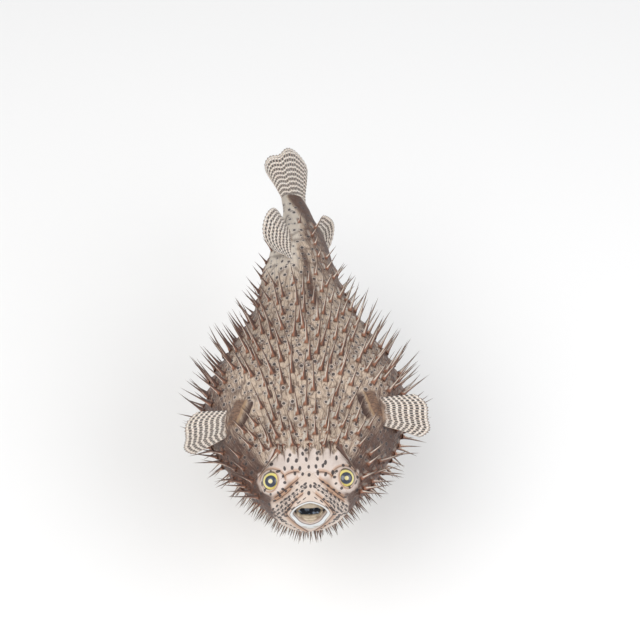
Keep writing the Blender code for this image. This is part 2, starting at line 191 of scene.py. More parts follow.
# %% The curved axis
def tailward(place):
    rise, swing = (math.radians(between(AXIS_TURNS, place, column)) for column in (1, 2))
    level = Vector((-math.sin(swing), math.cos(swing), 0)) * math.cos(rise)
    return level + Vector((0, 0, math.sin(rise)))


def axis_points():
    points = [Vector((0, 0, 0))]
    for i in range(AXIS_STEPS):
        points.append(points[-1] + tailward((i + 0.5) / AXIS_STEPS) * BODY_LENGTH / AXIS_STEPS)
    shift = Vector((0, 0, AXIS_HEIGHT)) - points[round(MIDDLE_PLACE * AXIS_STEPS)]
    return [point + shift for point in points]


AXIS = axis_points()


def axis_at(place):
    if place <= 0:
        return AXIS[0] + tailward(0) * place * BODY_LENGTH
    if place >= 1:
        return AXIS[-1] + tailward(1) * (place - 1) * BODY_LENGTH
    step = min(int(place * AXIS_STEPS), AXIS_STEPS - 1)
    return AXIS[step].lerp(AXIS[step + 1], place * AXIS_STEPS - step)


def frame_at(place):
    """The directions towards the tail, the fish's left and its back."""
    tail = tailward(place)
    level_left = tail.cross(Vector((0, 0, 1))).normalized()
    level_up = level_left.cross(tail)
    roll = math.radians(between(AXIS_TURNS, place, 3))
    left = math.cos(roll) * level_left + math.sin(roll) * level_up
    up = math.cos(roll) * level_up - math.sin(roll) * level_left
    return tail, left, up


LIPS = axis_at(0)
MOUTH_TAIL, MOUTH_LEFT, MOUTH_UP = frame_at(0)
print("lips' centre:", LIPS, "tail's root:", AXIS[-1])


# %% Points of the skin
def section_at(place):
    """What one ring of the body needs: its centre, directions, sizes, keel and roundness."""
    _, left, up = frame_at(place)
    sizes = [between(BODY_STATIONS, place, column) * BODY_LENGTH for column in (1, 2, 3)]
    jaw = JAW * ease(0.03, 0.10, place) * (1 - ease(0.20, 0.38, place))
    keel = (KEEL * ease(0.04, 0.20, place), jaw)
    pointedness = LIP_POINTEDNESS + (2 - LIP_POINTEDNESS) * ease(MUZZLE_PLACE, 0.040, place)
    return axis_at(place), left, up, sizes, keel, 2 / pointedness


def power(value, exponent):
    return math.copysign(abs(value) ** exponent, value)


def on_section(section, angle):
    centre, left, up, (half_width, back, belly), keel, exponent = section
    over = power(math.cos(angle), exponent)
    under = max(0.0, -over)
    narrowing = 1 - keel[0] * under**2 - keel[1] * under**0.8
    across = power(math.sin(angle), exponent) * half_width * narrowing
    return centre + left * across + up * over * (back if over > 0 else belly)


def section_point(place, angle, grow=0.0):
    """A point of the skin, or one that much outside it."""
    centre, left, up, sizes, keel, exponent = section_at(place)
    return on_section((centre, left, up, [s + grow for s in sizes], keel, exponent), angle)


# %% [markdown]
# ## Camera, floor and light
# The fish is seen from in front and well above, as on a museum table. A long lens keeps the
# snout from swelling. The floor is nearly white, so that the dark spines stand clear against
# it. One large soft light from the upper left shapes the body, and a weaker one fills the rest.

# %% Camera
def add_object(name, data):
    made = bpy.data.objects.new(name, data)
    bpy.context.scene.collection.objects.link(made)
    return made


VIEW_ELEVATION = math.radians(52)
VIEW_DEPTH = 1.094  # from the camera to the lips, along its line of sight
VIEW_RIGHT, VIEW_ABOVE = 0.0072, 0.1405  # of the middle of the view from the lips

toward_camera = Vector((0, -math.cos(VIEW_ELEVATION), math.sin(VIEW_ELEVATION)))
view_up = Vector((0, math.sin(VIEW_ELEVATION), math.cos(VIEW_ELEVATION)))
camera = add_object("camera", bpy.data.cameras.new("camera"))
camera.data.lens = 85
camera.location = (
    LIPS + toward_camera * VIEW_DEPTH + Vector((1, 0, 0)) * VIEW_RIGHT + view_up * VIEW_ABOVE
)
camera.rotation_euler = (-toward_camera).to_track_quat("-Z", "Y").to_euler()
bpy.context.scene.camera = camera
print("camera stands", round(camera.location.z, 3), "m above the floor")


# %% Light
def soft_light(name, place, aim, size, watts, colour):
    lamp = bpy.data.lights.new(name, "AREA")
    lamp.shape = "DISK"
    lamp.size = size
    lamp.energy = watts
    lamp.color = colour
    made = add_object(name, lamp)
    made.location = place
    made.rotation_euler = (Vector(place) - Vector(aim)).to_track_quat("Z", "Y").to_euler()


MIDDLE = Vector((0, 0, AXIS_HEIGHT))
soft_light("key", (-0.70, -0.75, 1.65), MIDDLE, 1.7, 18, (1.0, 0.985, 0.965))
soft_light("fill", (1.3, -0.6, 1.3), MIDDLE, 1.6, 12, (0.97, 0.98, 1.0))

world = bpy.data.worlds.new("studio")
world.use_nodes = True
sky = world.node_tree.nodes["Background"]
sky.inputs["Color"].default_value = (0.97, 0.975, 0.98, 1)
sky.inputs["Strength"].default_value = 0.68
bpy.context.scene.world = world
bpy.context.scene.view_settings.view_transform = "Standard"

# %% [markdown]
# ## Helpers for meshes and materials
# Every piece is a bmesh that becomes an object at the origin, with its place in its mesh.
# Materials are node trees. Written one node after another they hide what they work out, so a
# small class lets the nodes' numbers add and multiply as plain ones do, and a finish reads
# like a sum.


# %% Making a piece
def turn_outward(bm):
    bm.normal_update()
    bmesh.ops.recalc_face_normals(bm, faces=bm.faces)


def finish_piece(name, bm, body_slot, *replaced):
    """Turns a bmesh into a piece that rides on the fish and stands for those solids."""
    bm.normal_update()
    mesh = bpy.data.meshes.new(name)
    bm.to_mesh(mesh)
    bm.free()
    mesh.shade_smooth()
    piece = add_object(name, mesh)
    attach(piece, "root")
    if replaced:
        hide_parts(*replaced)
    mesh.calc_loop_triangles()
    print(name, "has", len(mesh.loop_triangles), "triangles")
    return piece


# %% Numbers worked out by nodes
class Value:
    """A number, vector or colour that a node gives."""

    def __init__(self, tree, socket):
        self.tree, self.socket = tree, socket

    def __add__(self, other):
        return sums("ADD", self, other)

    def __sub__(self, other):
        return sums("SUBTRACT", self, other)

    def __rsub__(self, other):
        return sums("SUBTRACT", other, self)

    def __mul__(self, other):
        return sums("MULTIPLY", self, other)

    def __truediv__(self, other):
        return sums("DIVIDE", self, other)

    def __rtruediv__(self, other):
        return sums("DIVIDE", other, self)

    def __abs__(self):
        return sums("ABSOLUTE", self)


def put(tree, kind, inputs=None, **settings):
    """Adds a node. An input is a plain value, or a Value to join to it."""
    node = tree.nodes.new(kind)
    for key, value in settings.items():
        setattr(node, key, value)
    for key, value in (inputs or {}).items():
        if isinstance(value, Value):
            tree.links.new(value.socket, node.inputs[key])
        else:
            node.inputs[key].default_value = value
    return node


def value_of(tree, kind, output, inputs=None, **settings):
    """One output of a new node."""
    return Value(tree, put(tree, kind, inputs, **settings).outputs[output])


def sums(operation, a, b=0.0):
    tree = a.tree if isinstance(a, Value) else b.tree
    return value_of(tree, "ShaderNodeMath", 0, {0: a, 1: b}, operation=operation)


# %% What a finish reads and mixes
def here_on(tree):
    return value_of(tree, "ShaderNodeTexCoord", "Object")


def own_map(tree, name):
    return value_of(tree, "ShaderNodeUVMap", "UV", uv_map=name)


def kept(tree, name):
    """A number kept on the mesh's points."""
    return value_of(tree, "ShaderNodeAttribute", "Fac", attribute_name=name)


def parts(vector):
    split = put(vector.tree, "ShaderNodeSeparateXYZ", {0: vector})
    return [Value(vector.tree, output) for output in split.outputs]


def kept_parts(tree, name):
    """The three numbers of a vector kept on the mesh's points."""
    return parts(value_of(tree, "ShaderNodeAttribute", "Vector", attribute_name=name))


def joined(x, y):
    return value_of(x.tree, "ShaderNodeCombineXYZ", 0, {0: x, 1: y})


def length_of(x, y):
    return sums("SQRT", x * x + y * y)


def step(value, low, high, below=0.0, above=1.0):
    """A smooth step from one value to another, as value goes from low to high."""
    inputs = {"Value": value, "From Min": low, "From Max": high, "To Min": below, "To Max": above}
    smooth = {"interpolation_type": "SMOOTHSTEP"}
    return value_of(value.tree, "ShaderNodeMapRange", "Result", inputs, **smooth)


def line_at(value, middle, half_width, soft=0.6):
    """1 on a line where value is middle, 0 beyond its half width."""
    return step(abs(value - middle), half_width * (1 + soft), half_width * (1 - soft))


def blend(share, a, b):
    """Mixes two colours, share of b over a."""
    a, b = ((*x, 1) if isinstance(x, tuple) else x for x in (a, b))
    return value_of(share.tree, "ShaderNodeMix", 2, {0: share, 6: a, 7: b}, data_type="RGBA")


def noise_on(vector, scale, detail=2.0, rough=0.5):
    inputs = {"Vector": vector, "Scale": scale, "Detail": detail, "Roughness": rough}
    return value_of(vector.tree, "ShaderNodeTexNoise", "Fac", inputs)


def wavering(vector, scale, amount):
    """Noise round 0 that makes an edge waver."""
    return (noise_on(vector, scale) - 0.5) * amount


# %% Materials
def new_material(name, **constants):
    """A material, its tree and its shader, with the shader's unvarying sockets set."""
    made = bpy.data.materials.new(name)
    made.use_nodes = True
    shader = made.node_tree.nodes["Principled BSDF"]
    for label, value in constants.items():
        shader.inputs[label.replace("_", " ")].default_value = value
    return made, made.node_tree, shader


def dress(shader, colour, rough=None, height=None, depth=0.0):
    """Joins a colour, a roughness and a relief that many metres deep to the shader."""
    tree = colour.tree
    tree.links.new(colour.socket, shader.inputs["Base Color"])
    if rough is not None:
        tree.links.new(rough.socket, shader.inputs["Roughness"])
    if height is not None:
        inputs = {"Height": height, "Distance": depth, "Strength": 1.0}
        relief = value_of(tree, "ShaderNodeBump", "Normal", inputs)
        tree.links.new(relief.socket, shader.inputs["Normal"])


# %% [markdown]
# ## Effects that several finishes share
# Blotches vary a colour over a size that each finish gives, from clouds to grain. Speckles are
# small round dots with wavering edges, used for dust in the stand's paint. Fibres are fine
# streaks that follow the lie of a surface. Each is a node group, built once, that makes a
# mask from a vector and a few sizes.


# %% Shared groups
def new_group(name, **sizes):
    """A group, and the vector and sizes that it is given."""
    group = bpy.data.node_groups.new(name, "ShaderNodeTree")
    group.interface.new_socket("Vector", in_out="INPUT", socket_type="NodeSocketVector")
    for label, value in sizes.items():
        socket = group.interface.new_socket(label, in_out="INPUT", socket_type="NodeSocketFloat")
        socket.default_value = value
    group.interface.new_socket("Mask", in_out="OUTPUT", socket_type="NodeSocketFloat")
    outputs = put(group, "NodeGroupInput").outputs[:len(sizes) + 1]
    return group, [Value(group, output) for output in outputs]


def use(group, vector, **sizes):
    """A group's mask on a vector."""
    inputs = {"Vector": vector, **sizes}
    return value_of(vector.tree, "ShaderNodeGroup", "Mask", inputs, node_tree=group)


def make_blotches():
    group, (vector, size, contrast) = new_group("blotches", Size=0.03, Contrast=0.5)
    cloud = noise_on(vector, 1.0 / size, 4.0, 0.6)
    mask = step(cloud, 0.5 - contrast * 0.25, contrast * 0.25 + 0.5)
    put(group, "NodeGroupOutput", {"Mask": mask})
    return group


def make_speckles():
    sizes = {"Spacing": 0.004, "Radius": 0.001, "Waver": 0.3}
    group, (vector, spacing, radius, waver) = new_group("speckles", **sizes)
    scale = 1.0 / spacing
    inputs = {"Vector": vector, "Scale": scale, "Randomness": 0.85}
    cells = value_of(group, "ShaderNodeTexVoronoi", "Distance", inputs)
    swing = (noise_on(vector, scale * 1.7, 1.0) - 0.5) * waver * 2.0
    share = cells * spacing / (swing * radius + radius)
    put(group, "NodeGroupOutput", {"Mask": step(share, 1.12, 0.80)})
    return group


def make_fibres():
    sizes = {"Across": 0.001, "Along": 0.010, "Sway": 0.4}
    group, (vector, across, along, sway) = new_group("fibres", **sizes)
    x, y, _ = parts(vector)
    shift = (noise_on(vector, 90.0) - 0.5) * sway * 12.0
    streaks = noise_on(joined(shift + x / across, y / along), 1.0, 2.0, 0.55)
    put(group, "NodeGroupOutput", {"Mask": step(streaks, 0.36, 0.64)})
    return group


BLOTCHES, SPECKLES, FIBRES = make_blotches(), make_speckles(), make_fibres()
print("groups:", [group.name for group in bpy.data.node_groups])

# %% [markdown]
# ## The skin's form
# The real skin is one loose bag over the whole fish, so it is one closed mesh here too. A
# sphere has just the rings and columns that such a bag needs: its first pole becomes the
# throat, its rings come out over the lips and run back to the tail, and its last pole closes
# inside the tail fin. Rings lie closer together on the face, where the small features are.

# %% Skin rings
SKIN_COLUMNS = 320
LIP_RINGS = [("mouth", place) for place in evenly(-1, 5, 26)]
FACE_RINGS = [("body", place) for place in evenly(MUZZLE_PLACE, 0.135, 84)[1:]]
BODY_RINGS = [("body", place) for place in evenly(0.135, 0.92, 158)[1:]]
END_RINGS = [("body", place) for place in evenly(0.92, 1.0, 14)[1:]]
CAP_RINGS = [("cap", share) for share in evenly(0, 1, 5)[1:-1]]
RINGS = LIP_RINGS + FACE_RINGS + BODY_RINGS + END_RINGS + CAP_RINGS
CAP_LENGTH = 0.016  # share of the body that the skin closes over, inside the tail fin
THROAT_DEPTH = 0.0180


def mouth_point(along, angle):
    depth, half_width, half_height = (between(MOUTH_RINGS, along, column) for column in (1, 2, 3))
    across = power(math.sin(angle), 2 / LIP_POINTEDNESS) * half_width
    over = power(math.cos(angle), 2 / LIP_POINTEDNESS) * half_height
    return LIPS + MOUTH_TAIL * depth + MOUTH_LEFT * across + MOUTH_UP * over


def ring_points(kind, along):
    """A function of the angle that gives the points of one ring."""
    if kind == "mouth":
        return lambda angle: mouth_point(along, angle)
    if kind == "body":
        section = section_at(along)
        return lambda angle: on_section(section, angle)
    centre, left, up, sizes, keel, exponent = section_at(1.0)
    shrink = math.sqrt(1 - along**2)
    section = (
        centre + tailward(1) * CAP_LENGTH * BODY_LENGTH * along, left, up,
        [size * shrink for size in sizes], keel, exponent,
    )
    return lambda angle: on_section(section, angle)


# %% Skin mesh
skin = bmesh.new()
bmesh.ops.create_uvsphere(skin, u_segments=SKIN_COLUMNS, v_segments=len(RINGS) + 1, radius=1)
PLACE = skin.verts.layers.float.new("place")
TURN = skin.verts.layers.float.new("turn")
makers = [ring_points(kind, along) for kind, along in RINGS]
places = [MUZZLE_PLACE * (along / 5 - 1) if kind == "mouth" else along if kind == "body" else 1
          for kind, along in RINGS]
for vert in skin.verts:
    ring = round(math.acos(max(-1, min(1, vert.co.z))) / math.pi * (len(RINGS) + 1)) - 1
    vert[TURN] = math.atan2(vert.co.x, vert.co.y)
    if 0 <= ring < len(RINGS):
        vert[PLACE] = places[ring]
        vert.co = makers[ring](vert[TURN])
    elif ring < 0:
        vert[PLACE] = places[0]
        vert.co = LIPS + MOUTH_TAIL * THROAT_DEPTH
    else:
        vert[PLACE] = 1
        vert.co = axis_at(1 + CAP_LENGTH)
turn_outward(skin)
skin.normal_update()
print("skin:", len(skin.verts), "points, volume", round(skin.calc_volume() * 1e6), "cubic cm")

# %% Lie of the skin
# A UV map in metres follows the skin, x round it and y along it, for streaks and wrinkles.
LIE_RADIUS = 0.060
LIE = skin.loops.layers.uv.new("lie")
for face in skin.faces:
    turns = [vert[TURN] for vert in face.verts]
    crosses_belly = max(turns) - min(turns) > math.pi
    for loop in face.loops:
        turn = loop.vert[TURN]
        if crosses_belly and turn < 0:
            turn += 2 * math.pi
        loop[LIE].uv = (turn * LIE_RADIUS, loop.vert[PLACE] * BODY_LENGTH)

# %% [markdown]
# ## Eyes' places, swellings and lids
# A porcupinefish's eyes sit on low round turrets that look outwards, ahead and a little up.
# The solids already hold the eyeballs, so their centres and radius come from the frame. Round
# each one the skin is pushed out along the way the eye looks, drawn in under the ball where
# the ball shows, and rolled up into a soft lid at its rim.

# %% Eyes' places
EYE_PLACE = 0.058
EYE_ANGLE = math.radians(47)
EYE_OUTWARD = math.radians(27)
EYE_UPWARD = math.radians(25)
SWELLING_HEIGHT = 0.0085
SWELLING_RADIUS = 0.0170


def eye_axis(side):
    tail, left, up = frame_at(EYE_PLACE)
    level = -math.cos(EYE_OUTWARD) * tail + side * math.sin(EYE_OUTWARD) * left
    return (math.cos(EYE_UPWARD) * level + math.sin(EYE_UPWARD) * up).normalized()


EYES = {}
for side, word in SIDES:
    low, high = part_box(f"eye_{word}")
    foot = section_point(EYE_PLACE, side * EYE_ANGLE)
    EYES[side] = {"centre": (low + high) / 2, "axis": eye_axis(side), "foot": foot}
EYE_RADIUS = (high.z - low.z) / 2
print("eyes:", {side: eye["centre"] for side, eye in EYES.items()}, "radius", EYE_RADIUS)

# %% Turrets and lids
EYE_OPENING = 0.0060  # radius of what shows of the ball
LID_HEIGHT = 0.0009
LID_REACH = 0.0016
LID_MIDDLE = 0.0072
SOCKET_GAP = 0.0011  # between the ball and the skin that passes under it
NO_EYE_NEAR = 40.0
AROUND_EYE = skin.verts.layers.float.new("around_eye")  # in mm
for vert in skin.verts:
    vert[AROUND_EYE] = NO_EYE_NEAR
    if not 0.0 < vert[PLACE] < 0.16:
        continue
    for eye in EYES.values():
        offset = vert.co - eye["foot"]
        along = offset.dot(eye["axis"])
        away = (offset - along * eye["axis"]).length
        if away > SWELLING_RADIUS * 1.2 or along < -SWELLING_RADIUS:
            continue
        hill = 1 - ease(0.30, 1.0, away / SWELLING_RADIUS)
        vert.co += eye["axis"] * SWELLING_HEIGHT * hill
        offset = vert.co - eye["centre"]
        along = offset.dot(eye["axis"])
        if away < EYE_OPENING:
            under_ball = math.sqrt(EYE_RADIUS**2 - away**2) - SOCKET_GAP
            vert.co += eye["axis"] * (under_ball - along)
        else:
            vert.co += eye["axis"] * LID_HEIGHT * bump((away - LID_MIDDLE) / LID_REACH)
        vert[AROUND_EYE] = away / MM
skin.normal_update()

# %% [markdown]
# ## Folds of the face
# Loose skin gathers into a few folds. Two run from the nose's bridge down under each eye to
# the cheek, one arches over the brow inside each eye, and one rings the muzzle outside the
# lips. They are simple curves when one faces the fish from a metre away and a little above, so
# they are written as distances across and over the mouth as seen from there. The distance from
# each fold is kept on the skin's points, so that the finish can draw crisply its painted shade:
# a dark line in the fold and a warm band along its edge.


# %% Facing the fish
FACE_AHEAD, FACE_UP = toward_camera, view_up
VIEWER = camera.location.copy()


def ahead(point):
    """How far across and over the lips' centre a point is seen, in mm, and how far behind."""
    offset = point - VIEWER
    behind = -offset.dot(FACE_AHEAD) - VIEW_DEPTH
    seen = VIEWER + offset * (VIEW_DEPTH / (VIEW_DEPTH + behind)) - LIPS
    return seen.dot(MOUTH_LEFT) / MM, seen.dot(FACE_UP) / MM, behind / MM


def seen_at(across, over):
    """The nearest skin seen that many mm across and over the lips' centre, and its way out."""
    aim = LIPS + (MOUTH_LEFT * across + FACE_UP * over) * MM
    point, out, _, _ = SKIN_TREE.ray_cast(VIEWER, (aim - VIEWER).normalized())
    return point, out


# %% Fold lines
FAR = 9.0
MUZZLE_HALF_WIDTH, MUZZLE_OVER, MUZZLE_UNDER, MUZZLE_ROUNDNESS = 17.3, 17.6, 13.6, 1.25


def sloping_fold(nose, fall, first, last, across, over):
    """Distance above a fold that falls to either side of the nose, and how much is there."""
    x = abs(across)
    there = ease(first, first + 3, x) * (1 - ease(last - 4, last, x))
    return (over - nose + fall * x - 0.7 * math.sin(x / 4)) / math.hypot(1, fall), there


def muzzle_fold(across, over):
    half_height = MUZZLE_OVER if over > 0 else MUZZLE_UNDER
    sizes = (abs(across) / MUZZLE_HALF_WIDTH, abs(over) / half_height)
    level = sum(size**MUZZLE_ROUNDNESS for size in sizes) ** (1 / MUZZLE_ROUNDNESS)
    there = ease(2, 5, abs(across)) if over > 0 else 1
    return (level - 1) * 12.5, there


def brow_fold(across, over):
    x = abs(across)
    there = ease(4, 7, x) * (1 - ease(17, 21, x))
    return over - 31.0 + 0.045 * (x - 9) ** 2, there


def folds_at(across, over):
    return {
        "cheek": sloping_fold(31.3, 0.80, 5, 29, across, over),
        "under_cheek": sloping_fold(27.4, 0.73, 10, 29, across, over),
        "muzzle": muzzle_fold(across, over),
        "brow": brow_fold(across, over),
    }


# %% Press the folds
FOLD_LAYERS = {name: skin.verts.layers.float.new(name) for name in folds_at(0, 0)}
TURRET = skin.verts.layers.float_vector.new("turret")  # mm right of, over and away from an eye
# How deep and how wide each fold is pressed in, in mm.
FOLD_SIZES = {
    "cheek": (1.2, 1.0), "under_cheek": (0.5, 0.7), "muzzle": (0.6, 0.7), "brow": (0.9, 0.9),
}
TURRET_EDGE = 9.6  # mm from the middle of the eye
TURRET_DEPTH, TURRET_WIDTH = 0.8, 1.2  # of the crease over the eye, in mm
eyes_seen = [ahead(eye["centre"])[:2] for eye in EYES.values()]
print("eyes seen at", eyes_seen)
for vert in skin.verts:
    for layer in FOLD_LAYERS.values():
        vert[layer] = FAR
    vert[TURRET] = (FAR, FAR, 4 * FAR)
    if not -0.003 < vert[PLACE] < 0.17 or ahead(vert.co)[2] > 75:
        continue
    across, over, _ = ahead(vert.co)
    depth = 0.0
    for name, (distance, there) in folds_at(across, over).items():
        deep, wide = FOLD_SIZES[name]
        depth -= deep * bump(distance / wide) * there
        vert[FOLD_LAYERS[name]] = distance + math.copysign(FAR * (1 - there), distance)
    offsets = [(across - x, over - y) for x, y in eyes_seen]
    x, y = min(offsets, key=lambda offset: math.hypot(*offset))
    away = math.hypot(x, y)
    vert[TURRET] = (x, y, away)
    depth -= TURRET_DEPTH * bump((away - TURRET_EDGE) / TURRET_WIDTH) * ease(-3, 3, y)
    vert.co += vert.normal * depth * MM
skin.normal_update()

# %% [markdown]
# ## Where the spines stand
# A porcupinefish's spines stand in staggered rows, about a finger's width apart, on the whole
# body but the face, the fins' roots and the end of the tail. They are shorter on the forehead,
# chin and tail, and lean back less on the belly. A seeded shuffle keeps the rows from looking
# ruled, and gives the same fish each time.

# %% Rules for spines
SPINE_ROW = 0.0345  # between rows, as a share of the body's length
SPINE_GAP = 0.0160  # between neighbours in a row
FRONT_GAP = 0.54  # share of both that is left in front
THROAT_START = 98  # degrees from the back where the throat's own short spines begin
shuffle = random.Random(11)


def spine_length(place, angle):
    behind_face = 0.0200 + 0.0080 * ease(0.13, 0.30, place)
    towards_tail = 1.0 - 0.55 * ease(0.50, 0.80, place)
    under = 1.0 - 0.25 * ease(math.radians(95), math.radians(150), abs(angle))
    return behind_face * towards_tail * under


def spine_direction(out, place, angle, more):
    """Away from the mouth in front, and towards the tail further back."""
    front = 1 - ease(0.14, 0.34, place)
    back, belly = math.radians(52 + 16 * front), math.radians(38 + 6 * front)
    lean = back + (belly - back) * ease(math.radians(40), math.radians(120), abs(angle)) + more
    tail = tailward(place)
    along = (tail - tail.dot(out) * out).normalized()
    behind = ease(0.22, 0.42, place)
    towards = (along * (1 - behind) + tail * behind).normalized()
    apart = towards.cross(out) * math.sin(angle) * 0.30
    return (math.cos(lean) * out + math.sin(lean) * towards + apart).normalized()


def girth(place):
    half_width, back, belly = section_at(place)[3]
    return math.pi * (half_width + (back + belly) / 2)


def bears_spine(place, angle):
    turn = math.degrees(abs(angle))
    face_edge = 0.112 + 0.018 * ease(20, 42, turn) - 0.072 * ease(56, 80, turn)
    if not face_edge + 0.022 * ease(95, 130, turn) < place < 0.90:
        return False
    by_pectoral_fin = 0.205 < place < 0.335 and 30 < turn < 70
    before_pectoral_fin = 0.158 < place < 0.21 and 48 < turn < 74
    by_dorsal_fin = place > 0.70 and turn < (17 if angle > 0 else 36)
    by_fin_line = by_dorsal_fin or place > 0.74 and turn > 163
    on_tail_side = place > 0.80 and turn > 70
    by_rods = 0.30 < place < 0.66 and turn > 170
    on_throat = place < 0.31 and turn > THROAT_START
    by_fins = by_pectoral_fin or before_pectoral_fin or by_fin_line
    return not (by_fins or on_tail_side or by_rods or on_throat)


# %% Spine roots
ROOTS = []
row, place = 0, 0.012
while place < 0.90:
    share = FRONT_GAP + (1 - FRONT_GAP) * ease(0.06, 0.27, place)
    count = max(8, round(girth(place) / (SPINE_GAP * share)))
    for k in range(count):
        turn = (k + 0.5 * (row % 2) + shuffle.uniform(-0.24, 0.24)) / count % 1
        angle = 2 * math.pi * (turn if turn < 0.5 else turn - 1)
        spot = place + SPINE_ROW * shuffle.uniform(-0.24, 0.24)
        size = shuffle.uniform(0.84, 1.16)
        if bears_spine(spot, angle):
            ROOTS.append((spot, angle, size))
    place += SPINE_ROW * share
    row += 1
print("spines on the body:", len(ROOTS))

# %% [markdown]
# ## Tents, sheaths and small dots
# Each spine lifts the skin round its foot into a little tent that is steep in front and runs
# out behind, and slack skin creases between the tents. The nearest root of every skin point is
# found with a k-d tree. How far the point lies beside, behind and away from that root is kept,
# so that the finish can draw each sheath's edges. The same is done for the small dark dots
# that cover the skin between the spines.


# %% Directions on the skin
def on_skin(place, angle):
    """A point of the smooth skin, the way out of it, and the way back along it."""
    point = section_point(place, angle)
    along = section_point(place + 0.004, angle) - section_point(place - 0.004, angle)
    round_it = section_point(place, angle + 0.02) - section_point(place, angle - 0.02)
    out = round_it.cross(along).normalized()
    if out.dot(point - axis_at(place)) < 0:
        out.negate()
    return point, out, along.normalized()


def nearest_of(points):
    tree = kdtree.KDTree(len(points))
    for index, point in enumerate(points):
        tree.insert(point, index)
    tree.balance()
    return tree


# %% Raise the tents
TENT_HEIGHT, TENT_HALF_WIDTH = 0.0020, 0.0022
TENT_BEHIND, TENT_AHEAD = 0.0070, 0.0022  # how far it runs out
CREASE_DEPTH, CREASE_WIDTH = 0.0006, 0.0015
SHEATH = skin.verts.layers.float_vector.new("sheath")  # mm to the right, behind, and away
CREASE = skin.verts.layers.float.new("crease")
feet = [on_skin(place, angle) for place, angle, _ in ROOTS]
near_feet = nearest_of([point for point, _, _ in feet])
for vert in skin.verts:
    vert[SHEATH] = (FAR, FAR, 2 * FAR)
    if vert[PLACE] < 0.0 or vert[PLACE] > 0.95:
        continue
    (_, first, near), (_, _, next_near) = near_feet.find_n(vert.co, 2)
    point, out, back = feet[first]
    offset = vert.co - point
    behind, aside = offset.dot(back), offset.dot(out.cross(back))
    narrow = TENT_HALF_WIDTH - 0.10 * max(0.0, min(behind, 0.012))
    run = TENT_BEHIND if behind > 0 else TENT_AHEAD
    tent = bump(aside / narrow) * bump(behind / run)
    crease = bump((next_near - near) / CREASE_WIDTH) * ease(0.004, 0.009, near)
    crease *= 1 - ease(0.016, 0.022, near)
    vert.co += vert.normal * (TENT_HEIGHT * tent - CREASE_DEPTH * crease)
    vert[SHEATH] = (aside / MM, behind / MM, near / MM)
    vert[CREASE] = crease
skin.normal_update()

# %% Small dots
DOT_GAP = 0.0074
DOT_CLEAR = 0.0026  # of the spines' feet
DOT = skin.verts.layers.float_vector.new("dot")  # mm beside, behind and away from a dot
dots = []
row, place = 0, 0.02
while place < 0.99:
    count = max(6, round(girth(place) / DOT_GAP))
    for k in range(count):
        turn = (k + 0.5 * (row % 2) + shuffle.uniform(-0.2, 0.2)) / count
        spot = place + DOT_GAP / BODY_LENGTH * shuffle.uniform(-0.2, 0.2)
        made = on_skin(spot, 2 * math.pi * turn)
        if near_feet.find(made[0])[2] > DOT_CLEAR:
            dots.append((*made, shuffle.uniform(0.75, 1.25)))
    place += DOT_GAP / BODY_LENGTH
    row += 1
near_dots = nearest_of([dot[0] for dot in dots])
for vert in skin.verts:
    _, index, near = near_dots.find(vert.co)
    point, out, back, size = dots[index]
    offset = (vert.co - point) / MM / size
    vert[DOT] = (offset.dot(out.cross(back)), offset.dot(back), near / MM)
print("small dots:", len(dots))

# %% [markdown]
# ## Gills, fin roots and slack skin
# The gill opening is a short slit just ahead of each pectoral fin, under a soft flap. The
# fin's root stands in a low mound behind it. Over all of it, the skin is never quite even, so
# a little noise is added last.

# %% Pectoral fins' roots
# For each side: the root's rear and front ends, as a place and degrees from the back.
PECTORAL_ENDS = {1: ((0.296, 41), (0.250, 51)), -1: ((0.277, 42), (0.238, 53))}
SLIT_AHEAD = 0.0090  # of the gill slit before the line of the fin's root
FLAP_HEIGHT, SLIT_DEPTH, MOUND_HEIGHT = 0.0016, 0.0034, 0.0030
GILL_REACH = 0.034
GILL = skin.verts.layers.float_vector.new("gill")  # mm along, ahead and away from a fin's root
for vert in skin.verts:
    vert[GILL] = (FAR, -2 * FAR, 9 * FAR)
    if not 0.15 < vert[PLACE] < 0.38:
        continue
    side = 1 if vert[TURN] > 0 else -1
    ends = [(place, side * math.radians(turn)) for place, turn in PECTORAL_ENDS[side]]
    rear, front = (on_skin(*end) for end in ends)
    middle, out = (rear[0] + front[0]) / 2, (rear[1] + front[1]).normalized()
    line = (rear[0] - front[0]).normalized()
    before = out.cross(line).normalized()
    before *= -1 if before.dot(rear[2]) > 0 else 1
    offset = vert.co - middle
    if offset.length > GILL_REACH:
        continue
    along, before_it = offset.dot(line), offset.dot(before)
    bow = before_it + 6.0 * along * along
    slit = bump((bow - SLIT_AHEAD) / 0.0016) * (1 - ease(0.008, 0.012, abs(along)))
    flap = bump((bow - SLIT_AHEAD + 0.0034) / 0.0024) * (1 - ease(0.009, 0.014, abs(along)))
    mound = bump(before_it / 0.0060) * bump(along / 0.014)
    lift = FLAP_HEIGHT * flap - SLIT_DEPTH * slit + MOUND_HEIGHT * mound
    vert.co += vert.normal * lift
    vert[GILL] = (along / MM, bow / MM, offset.length / MM)
skin.normal_update()

# %% Slack skin
SWELL_HEIGHT, GRAIN_HEIGHT = 0.0007, 0.00022
for vert in skin.verts:
    place = vert[PLACE]
    if place > 0.0:
        swell = noise.noise(vert.co * 55) * SWELL_HEIGHT * ease(0.10, 0.22, place)
        grain = noise.noise(vert.co * 240) * GRAIN_HEIGHT * ease(0.0, 0.02, place)
        vert.co += vert.normal * (swell + grain)
skin.normal_update()
